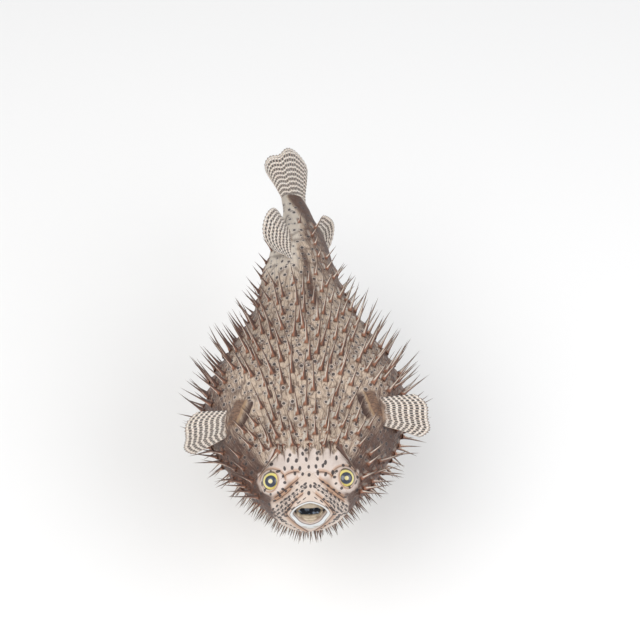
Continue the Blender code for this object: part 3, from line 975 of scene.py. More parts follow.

# %% [markdown]
# ## Markings
# The face is pale and spotted, the back taupe, the flanks dark brown and the belly cream. The
# flanks' darkness also carries painted shade: low on the sides, behind the face, on the fish's
# left, away from the key light, and on the stalk, whose other side is painted lighter. The
# large areas are masks on the skin's points, worked out from place and turn. The face's spots
# stand in rows: round each eye, down the snout beside the folds, and across the forehead. Each
# spot is an oval. How far a point of the face lies along and beside the nearest one is kept as
# shares of that oval's half length and half width, and the finish turns that into a crisp spot.

# %% Large areas
# The pale face: half its width in mm at heights over the mouth, and its edge on the forehead.
FACE_WIDTHS = (
    (-16, 14), (-8, 21.5), (0, 26), (7, 28), (13, 26.5), (20, 26), (30, 27), (38, 29), (46, 27),
)
HAIRLINE, LOBE_HEIGHT, LOBE_WIDTH = 45.5, 2.4, 9.4
FACE = skin.verts.layers.float.new("face")
RIM = skin.verts.layers.float_vector.new("rim")  # step over the lips, and 1 above to -1 below
BELLY = skin.verts.layers.float.new("belly")
FLANK_AND_SHADE = skin.verts.layers.float.new("flank_and_shade")


def hairline_at(across):
    """Height of the pale forehead's edge, which reaches up in lobes between dark tines."""
    return HAIRLINE - LOBE_HEIGHT * math.cos(2 * math.pi * across / LOBE_WIDTH)


def face_at(point, place):
    """How much a point belongs to the pale face."""
    across, over, behind = ahead(point)
    wobble = 1.4 * noise.noise(point * 230)
    half_width = between(FACE_WIDTHS, over, 1)
    inside = 1 - ease(half_width - 1.2, half_width + 1.4, abs(across) + wobble)
    inside *= 1 - ease(-0.7, 0.7, over - hairline_at(across) + wobble)
    away = min(math.hypot(across - x, over - y) for x, y in eyes_seen)
    inside = max(inside, 1 - ease(9.8, 11.6, away + wobble))
    return inside * (1 - ease(0.150, 0.175, place))


def belly_at(place, turn):
    """How much a point belongs to the pale underside."""
    return ease(112, 142, turn) * ease(0.06, 0.22, place)


def flank_and_shade_at(place, angle):
    """How dark the skin is, its own darker flanks and painted shade together: darkest low on the
    sides and behind the face, and more on the left, away from the key light. Painted shade also
    marks a streak before the dorsal fin, where the tail twists, and the stalk's left side; the
    stalk's top and right are painted lighter, as lit.
    """
    leftward = math.degrees(angle)
    turn = abs(leftward)
    low = ease(37, 69, turn) * (1 - 0.35 * ease(125, 160, turn))
    # Darker on the fish's left, away from the key light: painted shade.
    left = ease(10, 60, leftward)
    behind_face = 0.95 * bump((place - 0.115) / 0.070) * ease(36, 62, turn)
    tail = ease(0.62, 0.82, place)
    body = low * (0.85 + 0.15 * left) + behind_face + 0.12 * left
    # Painted shade: a dark streak before the dorsal fin, where the tail twists.
    furrow_shade = bump((leftward - 10) / 6) * ease(0.58, 0.62, place)
    furrow_shade *= 1 - ease(0.78, 0.84, place)
    end = 24 * ease(0.84, 0.92, place)
    # Painted shade on the stalk's left side and low down, painted light on its top and right.
    stalk = 0.40 * ease(50, 100, turn) + 1.25 * ease(9 + end, 36 + end, leftward) - 0.45
    return min(1.0, max(-0.5, body * (1 - tail) + stalk * tail + 1.2 * furrow_shade))


for vert in skin.verts:
    place, turn = vert[PLACE], math.degrees(abs(vert[TURN]))
    vert[FACE] = face_at(vert.co, place)
    vert[BELLY] = belly_at(place, turn)
    vert[FLANK_AND_SHADE] = flank_and_shade_at(place, vert[TURN])
    vert[RIM] = (5 * (place / MUZZLE_PLACE + 1), math.cos(vert[TURN]), 0)


# %% Rows of face spots
SKIN_TREE = bvhtree.BVHTree.FromBMesh(skin)
# Chevrons over the muzzle: height over the nose, the first and last mm across, and how many.
CHEVRON_FALL = 0.75
CHEVRONS = (
    (30.2, 9.3, 25.5, 5), (24.8, 3.6, 26.6, 9), (21.6, 3.2, 26.0, 9), (18.4, 10.2, 25.2, 7),
    (15.3, 15.0, 24.4, 5), (12.2, 17.4, 23.4, 3), (9.2, 18.4, 22.4, 2),
)
# Rows on the forehead and bridge: height, the first mm across, the gap, and how many.
FOREHEAD_ROWS = (
    (43.6, -14.3, 9.6, 3), (39.2, -16.5, 7.2, 4), (39.4, 19.0, 9.0, 1), (37.0, -27.4, 39.4, 2),
    (34.0, -18.0, 5.6, 6), (29.2, -11.4, 5.5, 6), (19.6, 0.2, 9.0, 1), (15.6, -0.9, 9.0, 1),
)
# How many mm across and over the lips' centre: dashes beside the nose, and marks on the chin.
DASHES = ((4.2, 11.2), (8.2, 8.9), (12.4, 4.6))
CHIN_MARKS = (
    (17.2, -6.3), (14.2, -7.6), (11.2, -9.2), (8.2, -10.9), (4.9, -12.2), (1.6, -12.8),
    (20.2, -4.6), (17.6, -8.9), (14.0, -10.6),
)
EYE_SPOTS, EYE_SPOTS_AWAY = 10, 8.3
# Half length, half width and the most that it may stray, in mm, for each kind of mark.
CHEVRON_SPOT, DASH, CHIN_MARK = (1.25, 0.76, 0.35), (1.75, 0.40, 0.2), (0.95, 0.62, 0.3)
FOREHEAD_SPOT, EYE_SPOT = (1.25, 1.06, 0.8), (1.10, 0.92, 0.1)
SPOTS = []  # centre, the ways it is drawn out and broad, half length and half width in mm


def add_spot(across, over, drawn, half_length, half_width, jog):
    """A spot moved at random by up to jog mm from its place."""
    across += shuffle.uniform(-jog, jog)
    centre, out = seen_at(across, over + shuffle.uniform(-jog, jog))
    if centre is None:
        return
    drawn = (drawn - drawn.dot(out) * out).normalized()
    sizes = [size * shuffle.uniform(0.88, 1.15) for size in (half_length, half_width)]
    SPOTS.append((centre, drawn, FACE_AHEAD.cross(drawn).normalized(), *sizes))


for side in (1, -1):
    along_row = MOUTH_LEFT * side - FACE_UP * CHEVRON_FALL
    for nose, first, last, count in CHEVRONS:
        for across in evenly(first, last, count - 1):
            add_spot(side * across, nose - CHEVRON_FALL * across, along_row, *CHEVRON_SPOT)
    for across, over in DASHES:
        add_spot(side * across, over, along_row, *DASH)
    for across, over in CHIN_MARKS:
        add_spot(side * across, over, MOUTH_LEFT * side + FACE_UP * 0.5, *CHIN_MARK)
for over, first, gap, count in FOREHEAD_ROWS:
    for k in range(count):
        add_spot(first + gap * k, over, FACE_UP, *FOREHEAD_SPOT)
for x, y in eyes_seen:
    for k in range(EYE_SPOTS):
        turn = math.tau * (k + shuffle.uniform(-0.15, 0.15)) / EYE_SPOTS
        spoke = MOUTH_LEFT * math.cos(turn) + FACE_UP * math.sin(turn)
        away = EYE_SPOTS_AWAY * shuffle.uniform(0.95, 1.06)
        add_spot(x + away * math.cos(turn), y + away * math.sin(turn), spoke, *EYE_SPOT)
print("face spots:", len(SPOTS))

# %% Where each point lies from its nearest spot
FLATTENED = 0.8  # how much less a spot narrows where the skin turns away to the side
SPOT = skin.verts.layers.float_vector.new("spot")  # shares of its sizes, and mm away


def flattened(point):
    return point - FLATTENED * point.dot(FACE_AHEAD) * FACE_AHEAD


near_spots = nearest_of([flattened(spot[0]) for spot in SPOTS])
for vert in skin.verts:
    vert[SPOT] = (FAR, FAR, FAR)
    if not -0.004 < vert[PLACE] < 0.16:
        continue
    _, index, near = near_spots.find(flattened(vert.co))
    centre, drawn, broad, half_length, half_width = SPOTS[index]
    offset = flattened(vert.co - centre) / MM
    vert[SPOT] = (offset.dot(drawn) / half_length, offset.dot(broad) / half_width, near / MM)
face_verts = [
    (vert.co.copy(), vert[PLACE], vert[TURN]) for vert in skin.verts if 0.02 < vert[PLACE] < 0.16
]
SKIN_PIECE = finish_piece("skin", skin, "skin", "head", "trunk", "tail")

# %% [markdown]
# ## The skin's finish
# The colours go on in the order a painter would lay them: a taupe ground broken by dark
# streaks along the lie of the skin, darker flanks that also carry painted shade, painted shade
# in the wrinkles and creases, a pale belly, small dark dots with pale halos, red-brown round
# each spine's foot with a painted highlight on its right and painted shade on its left, the
# gills with painted shade in their slits and the fins' hairy roots, then the pale face with its
# warm folds and spots, the folds painted with shade, the white lips with painted shade below,
# and the dark mouth, painted shade with painted glints. Streaks, wrinkles and grain also feed a
# shallow bump.

# %% Skin colours
TAUPE, GROUND_DARK, UMBER = (0.75, 0.60, 0.465), (0.120, 0.060, 0.042), (0.085, 0.047, 0.036)
RUSSET, DOT_BLACK = (0.25, 0.105, 0.060), (0.035, 0.028, 0.030)
CREAM, UNDERSIDE_SHADE = (0.72, 0.66, 0.58), (0.56, 0.48, 0.39)
PALE, FOLD_SHADE_TAN = (0.71, 0.62, 0.575), (0.42, 0.22, 0.115)
FACE_CLOUD, FACE_GRAIN = (0.58, 0.46, 0.38), (0.50, 0.37, 0.27)
CHEEK_TAN, EYE_SHADOW = (0.54, 0.40, 0.27), (0.27, 0.17, 0.115)
LIP_WHITE, LIP_SHADE_BLUE, GUM = (0.74, 0.745, 0.74), (0.66, 0.70, 0.735), (0.36, 0.26, 0.19)
THROAT_SHADE, PAINTED_GLINT = (0.030, 0.034, 0.046), (0.36, 0.44, 0.56)
HAIR_DARK, HAIR_BROWN = (0.065, 0.030, 0.022), (0.27, 0.145, 0.082)
GILL_FLAP, GILL_SLIT_SHADE = (0.40, 0.26, 0.15), (0.075, 0.035, 0.026)

# %% Ground
WRINKLES_ACROSS, WRINKLES_ALONG = 260.0, 52.0  # to the metre


def ground_colours(here, lie, flank_and_shade, dark):
    """The skin behind the face, and its relief. dark is 0 on the belly."""
    streaks = use(FIBRES, lie, Across=0.0012, Along=0.014)
    wisps = use(FIBRES, lie, Across=0.00045, Along=0.0035)
    cloud = use(BLOTCHES, here, Size=0.024, Contrast=0.5)
    # The flanks' darkness, partly painted shade, pulls the ground towards its dark end.
    light = streaks * 0.30 + wisps * 0.26 + cloud * 0.22 + 0.34 - flank_and_shade * 0.73
    colour = blend(step(light, -0.05, 0.95), GROUND_DARK, TAUPE)

    x, y, _ = parts(lie)
    field = noise_on(joined(x * WRINKLES_ACROSS, y * WRINKLES_ALONG), 1.0, 1.0)
    wrinkle = line_at(field, 0.5, 0.022)
    # Painted shade: the wrinkles' grooves, which the relief presses in, are darkened.
    colour = blend(wrinkle * dark * 0.62, colour, UMBER)
    stipple = use(BLOTCHES, here, Size=0.0009, Contrast=0.95)
    colour = blend(stipple * dark * 0.30, colour, UMBER)
    # Paler on the stalk's top and right: partly its own pale tone, partly painted light.
    pale_and_lit_stalk = step(flank_and_shade, -0.10, -0.45) * (wisps * 0.3 + 0.60)
    colour = blend(pale_and_lit_stalk, colour, CREAM)
    under = blend(cloud * 0.35, CREAM, UNDERSIDE_SHADE)
    return blend(1 - dark, colour, under), streaks * 0.35 + wisps * 0.25 - wrinkle * 0.4


# %% Sheaths and dots
def sheath_colours(tree, here, flank_and_shade, colour, dark):
    """Russet feet, a pale fold on the right of each spine that is a painted highlight on the side
    towards the key light, and a dark line on its left that is painted shade.
    """
    aside, behind, away = kept_parts(tree, "sheath")
    aside = aside + wavering(here, 420.0, 1.1)
    close = step(away, 9.0, 6.5)
    half_width = behind * -0.15 + 1.9
    foot = step(abs(aside) - half_width, 0.5, -0.5)
    foot = foot * step(behind, -2.4, -1.2) * step(behind, 8.5, 4.5) * close
    colour = blend(foot * dark * 0.72, colour, RUSSET)

    # Painted highlight: a pale fold beside each spine on the fish's right, towards the key light.
    key_lit_right = step(aside, 0.2, 0.9)
    fold = line_at(aside - half_width, 0.6, 0.85) * step(behind, -1.0, 0.8)
    fold = fold * step(behind, 9.0, 5.0) * close * key_lit_right
    colour = blend(fold * (0.85 - flank_and_shade * 0.62), colour, CREAM)
    # Painted shade: a dark line beside each spine on the fish's left.
    rim = line_at(abs(aside) - half_width, 0.4, 0.42) * step(behind, -1.5, 0.5) * close
    return blend(rim * (1 - key_lit_right) * dark * 0.85, colour, UMBER)


def dotted(tree, here, flank_and_shade, colour, dark):
    """Small dark dots with pale halos and a thin dark line round them."""
    x, y, away = kept_parts(tree, "dot")
    far = length_of(x, y) + wavering(here, 700.0, 0.5)
    there = step(away, 2.7, 2.3) * dark
    halo = step(far, 2.0, 1.6) * there * (0.42 - flank_and_shade * 0.36)
    colour = blend(halo, colour, PALE)
    ring = line_at(far, 2.0, 0.16) * there * 0.45
    dot = step(far, 1.30, 0.95) * there * 0.90
    return blend(sums("MAXIMUM", dot, ring), colour, DOT_BLACK)


# %% Gills and fin roots
def gill_colours(tree, colour):
    """The slit before each pectoral fin, darkened with painted shade, and the tan flap and brown
    root behind it.
    """
    along, before, away = kept_parts(tree, "gill")
    near = step(away, 30.0, 22.0) * step(abs(along), 13.0, 9.0)
    root = near * step(before, -7.0, -5.0) * step(before, 6.6, 5.2)
    hairs = use(FIBRES, joined(along, before), Across=0.8, Along=6.0)
    colour = blend(root * 0.90, colour, blend(hairs, HAIR_DARK, HAIR_BROWN))
    colour = blend(near * line_at(before, 5.6, 1.0) * 0.75, colour, GILL_FLAP)
    # Painted shade in the gill slit.
    return blend(near * line_at(before, SLIT_AHEAD / MM, 2.0) * 0.92, colour, GILL_SLIT_SHADE)


# %% Face
# For each fold, painted shade: its warm band's width, its dark line's width and how dark that is.
FOLD_SHADE_LINES = (
    ("cheek", 1.5, 0.40, 0.90), ("under_cheek", 0.9, 0.26, 0.85),
    ("muzzle", 1.1, 0.30, 0.85), ("brow", 1.3, 0.36, 0.85),
)
LID_LINE = 6.9  # mm from the middle of the eye


def face_colours(tree, here):
    """The pale face with its warm folds and thin dark lines, both painted shade, a painted shadow
    under each eye's turret, its spots, and its grain.
    """
    cloud = use(BLOTCHES, here, Size=0.010, Contrast=0.6)
    fine = use(BLOTCHES, here, Size=0.0011, Contrast=0.8)
    colour = blend(cloud * 0.35, PALE, FACE_CLOUD)
    colour = blend(fine * 0.18, colour, FACE_GRAIN)
    colour = blend(step(kept(tree, "cheek"), 0.5, -2.5) * 0.22, colour, CHEEK_TAN)
    _, over_eye, from_eye = kept_parts(tree, "turret")
    turret, above_eye = from_eye - TURRET_EDGE, step(over_eye, -2.0, 3.0)
    hollow = step(turret, -1.5, 2.5) * step(turret, 9.0, 3.0) * (1 - above_eye)
    # Painted shadow under each eye's turret.
    colour = blend(hollow * 0.62, colour, EYE_SHADOW)

    lines = [(kept(tree, name), *look, 1.0) for name, *look in FOLD_SHADE_LINES]
    lines.append((turret, 0.9, 0.28, 0.55, above_eye))
    lines.append((kept(tree, "around_eye") - LID_LINE, 0.6, 0.16, 0.60, 1.0))
    # Painted shade: a warm band and a dark line along each fold, eye crease and lid.
    for distance, warm, thin, share, there in lines:
        band = line_at(distance, warm * 0.25, warm, 0.9)
        colour = blend(band * there * 0.70, colour, FOLD_SHADE_TAN)
        colour = blend(line_at(distance, 0.0, thin) * there * share, colour, UMBER)

    x, y, away = kept_parts(tree, "spot")
    far = length_of(x, y) + wavering(here, 800.0, 0.4)
    spots = step(far, 1.12, 0.88) * step(away, 2.0, 1.75)
    return blend(spots * 0.93, colour, DOT_BLACK), fine


# %% Lips
# Steps of the mouth's rings at which the white begins and ends, above and in the pout below.
LIP_INNER, LIP_OUTER, THROAT_EDGE = (2.15, 2.75), (3.60, 5.0), (1.5, 1.0)


def lip_colours(tree, here, colour):
    """White lips with thin dark edges, broader below and blue-grey with painted shade there, the
    dark flesh within, and painted shade with painted glints deep in the throat.
    """
    along, above, _ = kept_parts(tree, "rim")
    pout = step(above, -0.35, -1.0)
    within, beyond = (along - step(pout, 0.0, 1.0, *edge) for edge in (LIP_INNER, LIP_OUTER))
    band = step(within, -0.08, 0.08) * step(beyond, 0.08, -0.08)
    # Painted shade: the white turns blue-grey on the lower lip.
    white = blend(step(above, 0.1, -0.7) * 0.4, LIP_WHITE, LIP_SHADE_BLUE)
    colour = blend(band, colour, white)
    for edge, share in ((within, 0.75), (beyond, 0.70)):
        colour = blend(line_at(edge, 0.0, 0.15) * share, colour, UMBER)
    colour = blend(step(within, 0.0, -0.9) * 0.9, colour, GUM)
    # Painted shade deep in the mouth, with painted glints on it.
    wet = blend(step(noise_on(here, 260.0), 0.53, 0.62), THROAT_SHADE, PAINTED_GLINT)
    return blend(step(along, *THROAT_EDGE), colour, wet), band


# %% Skin finish
def skin_finish():
    made, tree, shader = new_material("spotted_skin", Coat_Weight=0.08, Coat_Roughness=0.35)
    here, lie = here_on(tree), own_map(tree, "lie")
    flank_and_shade, face = kept(tree, "flank_and_shade"), kept(tree, "face")
    dark = 1 - kept(tree, "belly")
    colour, height = ground_colours(here, lie, flank_and_shade, dark)
    # Painted shade in the creases of slack skin between the tents.
    crease = step(kept(tree, "crease") * dark, 0.0, 0.9, 0.0, 0.55)
    colour = blend(crease, colour, UMBER)
    colour = dotted(tree, here, flank_and_shade, colour, dark)
    colour = sheath_colours(tree, here, flank_and_shade, colour, dark)
    colour = gill_colours(tree, colour)
    bare, fine = face_colours(tree, here)
    colour, lips = lip_colours(tree, here, blend(face, colour, bare))

    grain = use(BLOTCHES, here, Size=0.0014, Contrast=0.9)
    height = (height + grain * 0.25) * (1 - face * 0.80) + fine * 0.12
    dress(shader, colour, grain * 0.14 + 0.50 - lips * 0.22, height, 0.0005)
    return made


SKIN_PIECE.data.materials.append(skin_finish())

# %% [markdown]
# ## Spines
# A spine is a long thorn, round, hardly curved, thick at its foot and needle sharp. One thorn
# is drawn once, from a circle that is extruded ring by ring and welded to a point. It is then
# copied to each root and bent there. All spines of one half of the fish are one mesh. Besides
# its own map, each spine carries a tiny patch of a map of the whole skin, named OFBake.

# %% One thorn
THORN_SIDES = 8
THORN_RINGS = (0.0, 0.12, 0.26, 0.44, 0.70)


def make_thorn():
    """A thorn of length 1 and foot radius 1 along +Z, its rings at shares of its length."""
    bm = bmesh.new()
    start = bmesh.ops.create_circle(bm, segments=THORN_SIDES, radius=1)["verts"]
    edges = list({edge for vert in start for edge in vert.link_edges})
    for low, high in zip(THORN_RINGS, THORN_RINGS[1:] + (1.0,)):
        grown = bmesh.ops.extrude_edge_only(bm, edges=edges)["geom"]
        ring = [item for item in grown if isinstance(item, bmesh.types.BMVert)]
        edges = [item for item in grown if isinstance(item, bmesh.types.BMEdge)]
        bmesh.ops.translate(bm, verts=ring, vec=(0, 0, high - low))
    bmesh.ops.pointmerge(bm, verts=ring, merge_co=(0, 0, 1))
    turn_outward(bm)
    mesh = bpy.data.meshes.new("thorn")
    bm.to_mesh(mesh)
    bm.free()
    return mesh


THORN = make_thorn()
print("a thorn has", len(THORN.polygons), "faces")

# %% Copies of the thorn
SPINE_FOOT_RADIUS = 0.0024
SPINE_SUNK = 0.0012
BAKE_PATCH = 0.003


def thickness(share, fullness):
    """A thorn's radius along its length, as a share of its foot's."""
    return (1 - share) ** fullness * (0.42 + 0.58 * math.exp(-share / 0.16))


def grow_spines(roots):
    """Joined spines. A root is a foot, ways out and along, length, radius, shade, place, angle."""
    bm = bmesh.new()
    own = bm.loops.layers.uv.new("spine")
    bake = bm.loops.layers.uv.new("OFBake")
    shades = bm.verts.layers.float.new("flank_and_shade")
    for foot, out, direction, length, radius, shade, place, angle in roots:
        bm.from_mesh(THORN)
        bm.verts.ensure_lookup_table()
        bm.faces.ensure_lookup_table()
        verts = bm.verts[len(bm.verts) - len(THORN.vertices):]
        faces = bm.faces[len(bm.faces) - len(THORN.polygons):]
        aside = out.cross(direction).normalized()
        across = direction.cross(aside)
        bend = aside.cross(out) * shuffle.uniform(0.02, 0.09) * length
        share_of = {}
        for vert in verts:
            share = vert.co.z
            share_of[vert] = share, math.atan2(vert.co.y, vert.co.x) / (2 * math.pi) % 1
            wide = radius * (thickness(share, 0.85) if share < 1 else 0)
            spoke = (aside * vert.co.x + across * vert.co.y) * wide
            stem = direction * (share * (length + SPINE_SUNK) - SPINE_SUNK) + bend * share**2
            vert.co = foot + stem + spoke
            vert[shades] = shade
        corner = (0.5 + angle / (2 * math.pi), place)
        for face in faces:
            turns = [share_of[loop.vert][1] for loop in face.loops]
            for loop in face.loops:
                share, turn = share_of[loop.vert]
                if max(turns) - min(turns) > 0.5 and turn < 0.5:
                    turn += 1
                loop[own].uv = (turn, share)
                patch_x = (turn - 0.5) * BAKE_PATCH * 0.5
                patch_y = (share - 0.5) * BAKE_PATCH
                loop[bake].uv = (corner[0] + patch_x, corner[1] + patch_y)
    bmesh.ops.recalc_face_normals(bm, faces=bm.faces)
    return bm


# %% Body spines
spine_lists = {"spines_left": [], "spines_right": []}


def add_spine(place, angle, length, radius, lift, more_lean):
    foot, out, back = on_skin(place, angle)
    sway = out.cross(back) * shuffle.uniform(-0.16, 0.16)
    direction = (spine_direction(out, place, angle, more_lean) + sway).normalized()
    shade = flank_and_shade_at(place, angle) * (1 - belly_at(place, math.degrees(abs(angle))))
    name = "spines_left" if angle > 0 else "spines_right"
    root = (foot + out * lift, out, direction, length, radius, shade, place, angle)
    spine_lists[name].append(root)


for place, angle, size in ROOTS:
    length = spine_length(place, angle) * size
    radius = SPINE_FOOT_RADIUS * (0.62 + 0.38 * length / 0.028)
    more_lean = math.radians(shuffle.uniform(-6, 6))
    add_spine(place, angle, length, radius, TENT_HEIGHT * 0.75, more_lean)

# %% Throat spines
THROAT_ROWS = evenly(0.082, 0.295, 9)
THROAT_COLUMNS = 18
THROAT_SPAN = 360 - 2 * THROAT_START
THROAT_RADIUS = 0.00165
for row, row_place in enumerate(THROAT_ROWS):
    for k in range(THROAT_COLUMNS):
        column = k + 0.5 * (row % 2) + 0.25
        turn = THROAT_START + THROAT_SPAN * column / THROAT_COLUMNS
        turn += shuffle.uniform(-1.5, 1.5)
        angle = math.radians(turn if turn < 180 else turn - 360)
        place = row_place + shuffle.uniform(-0.005, 0.005)
        length = (0.0105 + 0.0035 * ease(0.10, 0.20, place)) * shuffle.uniform(0.75, 1.2)
        add_spine(place, angle, length, THROAT_RADIUS, 0, -math.radians(26))


# %% Tines and brow spines
def add_pointing(start, end, radius, clear):
    """A spine from one point seen on the head to another, its tip that much nearer the viewer."""
    foot, out = seen_at(*start)
    aim = LIPS + (MOUTH_LEFT * end[0] + FACE_UP * end[1]) * MM
    way = (aim - VIEWER).normalized()
    tip = VIEWER + way * ((foot - VIEWER).dot(FACE_AHEAD) + clear) / way.dot(FACE_AHEAD)
    nearest = min(face_verts, key=lambda vert: (vert[0] - foot).length)
    name = "spines_left" if nearest[2] > 0 else "spines_right"
    way = (tip - foot).normalized()
    spine_lists[name].append((foot, out, way, (tip - foot).length, radius, 1.5, *nearest[1:]))


TINE_RADIUS, BARB_RADIUS, BROW_SPINE_RADIUS = 0.0020, 0.0010, 0.0031
for across in [LOBE_WIDTH * k for k in (-2, -1, 0, 1)] + [15.2, -23.0]:
    x, y = across + shuffle.uniform(-0.6, 0.6), HAIRLINE + shuffle.uniform(-0.5, 1.0)
    add_pointing((x, y + 4), (x + shuffle.uniform(-1, 1), y - 6.5), TINE_RADIUS, 0.0100)
    add_pointing((x, y + 2), (x - 3.2, y + 6.8), BARB_RADIUS, 0.0030)
    add_pointing((x, y + 2), (x + 3.4, y + 6.4), BARB_RADIUS, 0.0030)
for start, end in (((-24.0, 45.5), (-39.0, 26.5)), ((21.5, 47.0), (36.0, 26.5))):
    add_pointing(start, end, BROW_SPINE_RADIUS, 0.0150)
SPINE_PIECES = [
    finish_piece(name, grow_spines(rows), "skin") for name, rows in spine_lists.items()
]

# %% [markdown]
# ## The spines' finish
# A spine is a scale drawn out to a needle: glowing red-brown where the skin sleeves its foot
# and horn brown beyond. One narrow facet carries a pale painted highlight along the lower half,
# the sides next to it carry nearly black painted shade, and fine lines run along the whole.

# %% Spine finish
HORN, FOOT_GLOW = (0.215, 0.135, 0.092), (0.38, 0.16, 0.085)
HORN_HIGHLIGHT, HORN_SHADE = (0.82, 0.73, 0.63), (0.060, 0.032, 0.027)
HIGHLIGHT_FACET = 0.42  # its bearing round the spine, in radians
SHADED_SIDES = ((2.85, 0.50), (-0.50, 0.78))  # bearing, and cosine at which each begins


def spine_finish():
    made, tree, shader = new_material("horny_spine")
    own = own_map(tree, "spine")
    turn, share, _ = parts(own)
    bearing = turn * (2 * math.pi)
    lines = use(FIBRES, own, Across=0.07, Along=0.5, Sway=0.1)
    cloud = use(BLOTCHES, here_on(tree), Size=0.012, Contrast=0.6)
    colour = blend(step(share, 0.20, 0.60), RUSSET, HORN)
    colour = blend(step(share, 0.26, 0.02) * 0.55, colour, FOOT_GLOW)
    # Painted highlight on one narrow facet.
    facet = step(sums("COSINE", bearing - HIGHLIGHT_FACET), 0.66, 0.80)
    facet = facet * step(share, 0.04, 0.13) * step(share, 0.66, 0.38)
    colour = blend(facet * 0.90, colour, HORN_HIGHLIGHT)
    # Painted shade on the sides next to it.
    for middle, least in SHADED_SIDES:
        darker = step(sums("COSINE", bearing - middle), least, least + 0.14)
        colour = blend(darker * 0.85, colour, HORN_SHADE)
    colour = blend(lines * 0.20, colour, UMBER)
    # Darker on the flanks, partly painted shade.
    colour = blend(kept(tree, "flank_and_shade") * (0.75 - cloud) * 0.6, colour, UMBER)
    dress(shader, colour, step(share, 0.0, 0.7, 0.50, 0.30), lines, 0.00012)
    return made


SPINE_FINISH = spine_finish()
for piece in SPINE_PIECES:
    piece.data.materials.append(SPINE_FINISH)

# %% [markdown]
# ## Eyes
# Each eyeball is a clear-coated ball with a slightly raised cornea and a shallow groove where
# cornea and white would meet. From the middle out it is a pale gold glint in the lens, a
# blue-black pupil, a dark line, a lemon-yellow iris, and dark flesh under the lid. The angle
# from the middle of the gaze is kept on the points.

# %% Eyeballs
CORNEA_RISE, GROOVE_DEPTH = 0.0005, 0.0002


def make_eye(side, word):
    eye = EYES[side]
    bm = bmesh.new()
    bmesh.ops.create_uvsphere(bm, u_segments=48, v_segments=36, radius=1)
    gaze = bm.verts.layers.float.new("gaze")
    for vert in bm.verts:
        vert[gaze] = math.acos(max(-1, min(1, vert.co.z)))
        groove = GROOVE_DEPTH * bump((vert[gaze] - 0.92) / 0.06)
        grow = CORNEA_RISE * (1 - ease(0.45, 0.88, vert[gaze])) - groove
        vert.co = vert.co * (EYE_RADIUS + grow)
    gazing = (eye["axis"] + FACE_AHEAD * 1.3 + FACE_UP * 0.26).normalized()
    turned = gazing.to_track_quat("Z", "Y").to_matrix()
    bmesh.ops.rotate(bm, verts=bm.verts, matrix=turned)
    bmesh.ops.translate(bm, verts=bm.verts, vec=eye["centre"])
    return finish_piece(f"eyeball_{word}", bm, "eye", f"eye_{word}")


# %% Eye finish
LEMON, OCHRE, IRIS_LINE = (0.80, 0.70, 0.19), (0.62, 0.45, 0.10), (0.20, 0.15, 0.04)
PUPIL, PUPIL_BLUE, LENS_GLINT_GOLD = (0.012, 0.016, 0.030), (0.030, 0.042, 0.075), (0.58, 0.50, 0.22)
UNDER_LID = (0.10, 0.075, 0.045)


def eye_finish():
    wet = {"Roughness": 0.25, "Coat_Weight": 1.0, "Coat_Roughness": 0.03}
    made, tree, shader = new_material("glossy_eye", **wet)
    gaze = kept(tree, "gaze")
    flecks = use(BLOTCHES, here_on(tree), Size=0.0012, Contrast=0.9)
    yellow = blend(flecks * 0.45, LEMON, OCHRE)
    colour = blend(step(gaze, 0.92, 0.97), yellow, UNDER_LID)
    line = step(gaze, 0.52, 0.56) * step(gaze, 0.64, 0.58)
    colour = blend(line * 0.55, colour, IRIS_LINE)
    colour = blend(step(gaze, 0.575, 0.545), colour, blend(flecks, PUPIL, PUPIL_BLUE))
    # Painted reflection: a pale gold glint in the middle of the lens.
    dress(shader, blend(step(gaze, 0.215, 0.165), colour, LENS_GLINT_GOLD))
    return made


EYE_FINISH = eye_finish()
for side, word in SIDES:
    make_eye(side, word).data.materials.append(EYE_FINISH)

# %% [markdown]
# ## Beak
# The teeth are fused into one broad plate above and one below, without a middle seam, which
# is where the group gets its name. Each plate is a rounded half-moon that follows the lips,
# ridged where layers of tooth have grown. They are spheres flattened and bowed to the mouth,
# with the growth ridges pressed in.

# %% Beak plates
# For each plate: its rise over the lips' centre, half height, depth, and which way it hangs.
BEAK_PLATES = (("upper", 0.0040, 0.0040, 0.0088, 1), ("lower", -0.0098, 0.0050, 0.0062, -1))
BEAK_HALF_WIDTH = 0.0124
BEAK_HALF_DEPTH = 0.0052
BEAK_BOW = 0.0030
GROWTH_LINES, GROWTH_HEIGHT = 26, 0.00010
TOOTH_BROWN, TOOTH_TAN, TOOTH_PALE = (0.27, 0.205, 0.145), (0.52, 0.43, 0.32), (0.72, 0.64, 0.50)


def make_beak(word, rise, half_height, middle_depth, way):
    bm = bmesh.new()
    bmesh.ops.create_uvsphere(bm, u_segments=96, v_segments=64, radius=1)
    ridge = bm.verts.layers.float.new("ridge")
    for vert in bm.verts:
        x, y, z = vert.co
        edge = -z * way  # 1 at the biting edge
        slim = math.sqrt(max(1e-6, 1 - x * x))
        y, z = y / math.sqrt(slim), z / math.sqrt(slim)
        bow = BEAK_BOW * x * x
        rows = math.sin((z + 0.12 * math.cos(2 * x)) * GROWTH_LINES)
        vert[ridge] = 0.5 + 0.5 * rows
        growth = GROWTH_HEIGHT * rows * ease(0.1, 0.6, -y)
        out = BEAK_HALF_DEPTH * y * (1 - 0.25 * ease(0.2, 1, edge)) - growth
        sweep = -way * (0.0004 * x * x + 0.0034 * ease(0.46, 0.74, abs(x)))
        vert.co = (
            LIPS + MOUTH_TAIL * (middle_depth + bow + out) + MOUTH_LEFT * x * BEAK_HALF_WIDTH
            + MOUTH_UP * (rise + z * half_height + sweep)
        )
    bmesh.ops.recalc_face_normals(bm, faces=bm.faces)
    return finish_piece(f"tooth_{word}", bm, "beak", f"beak_{word}")


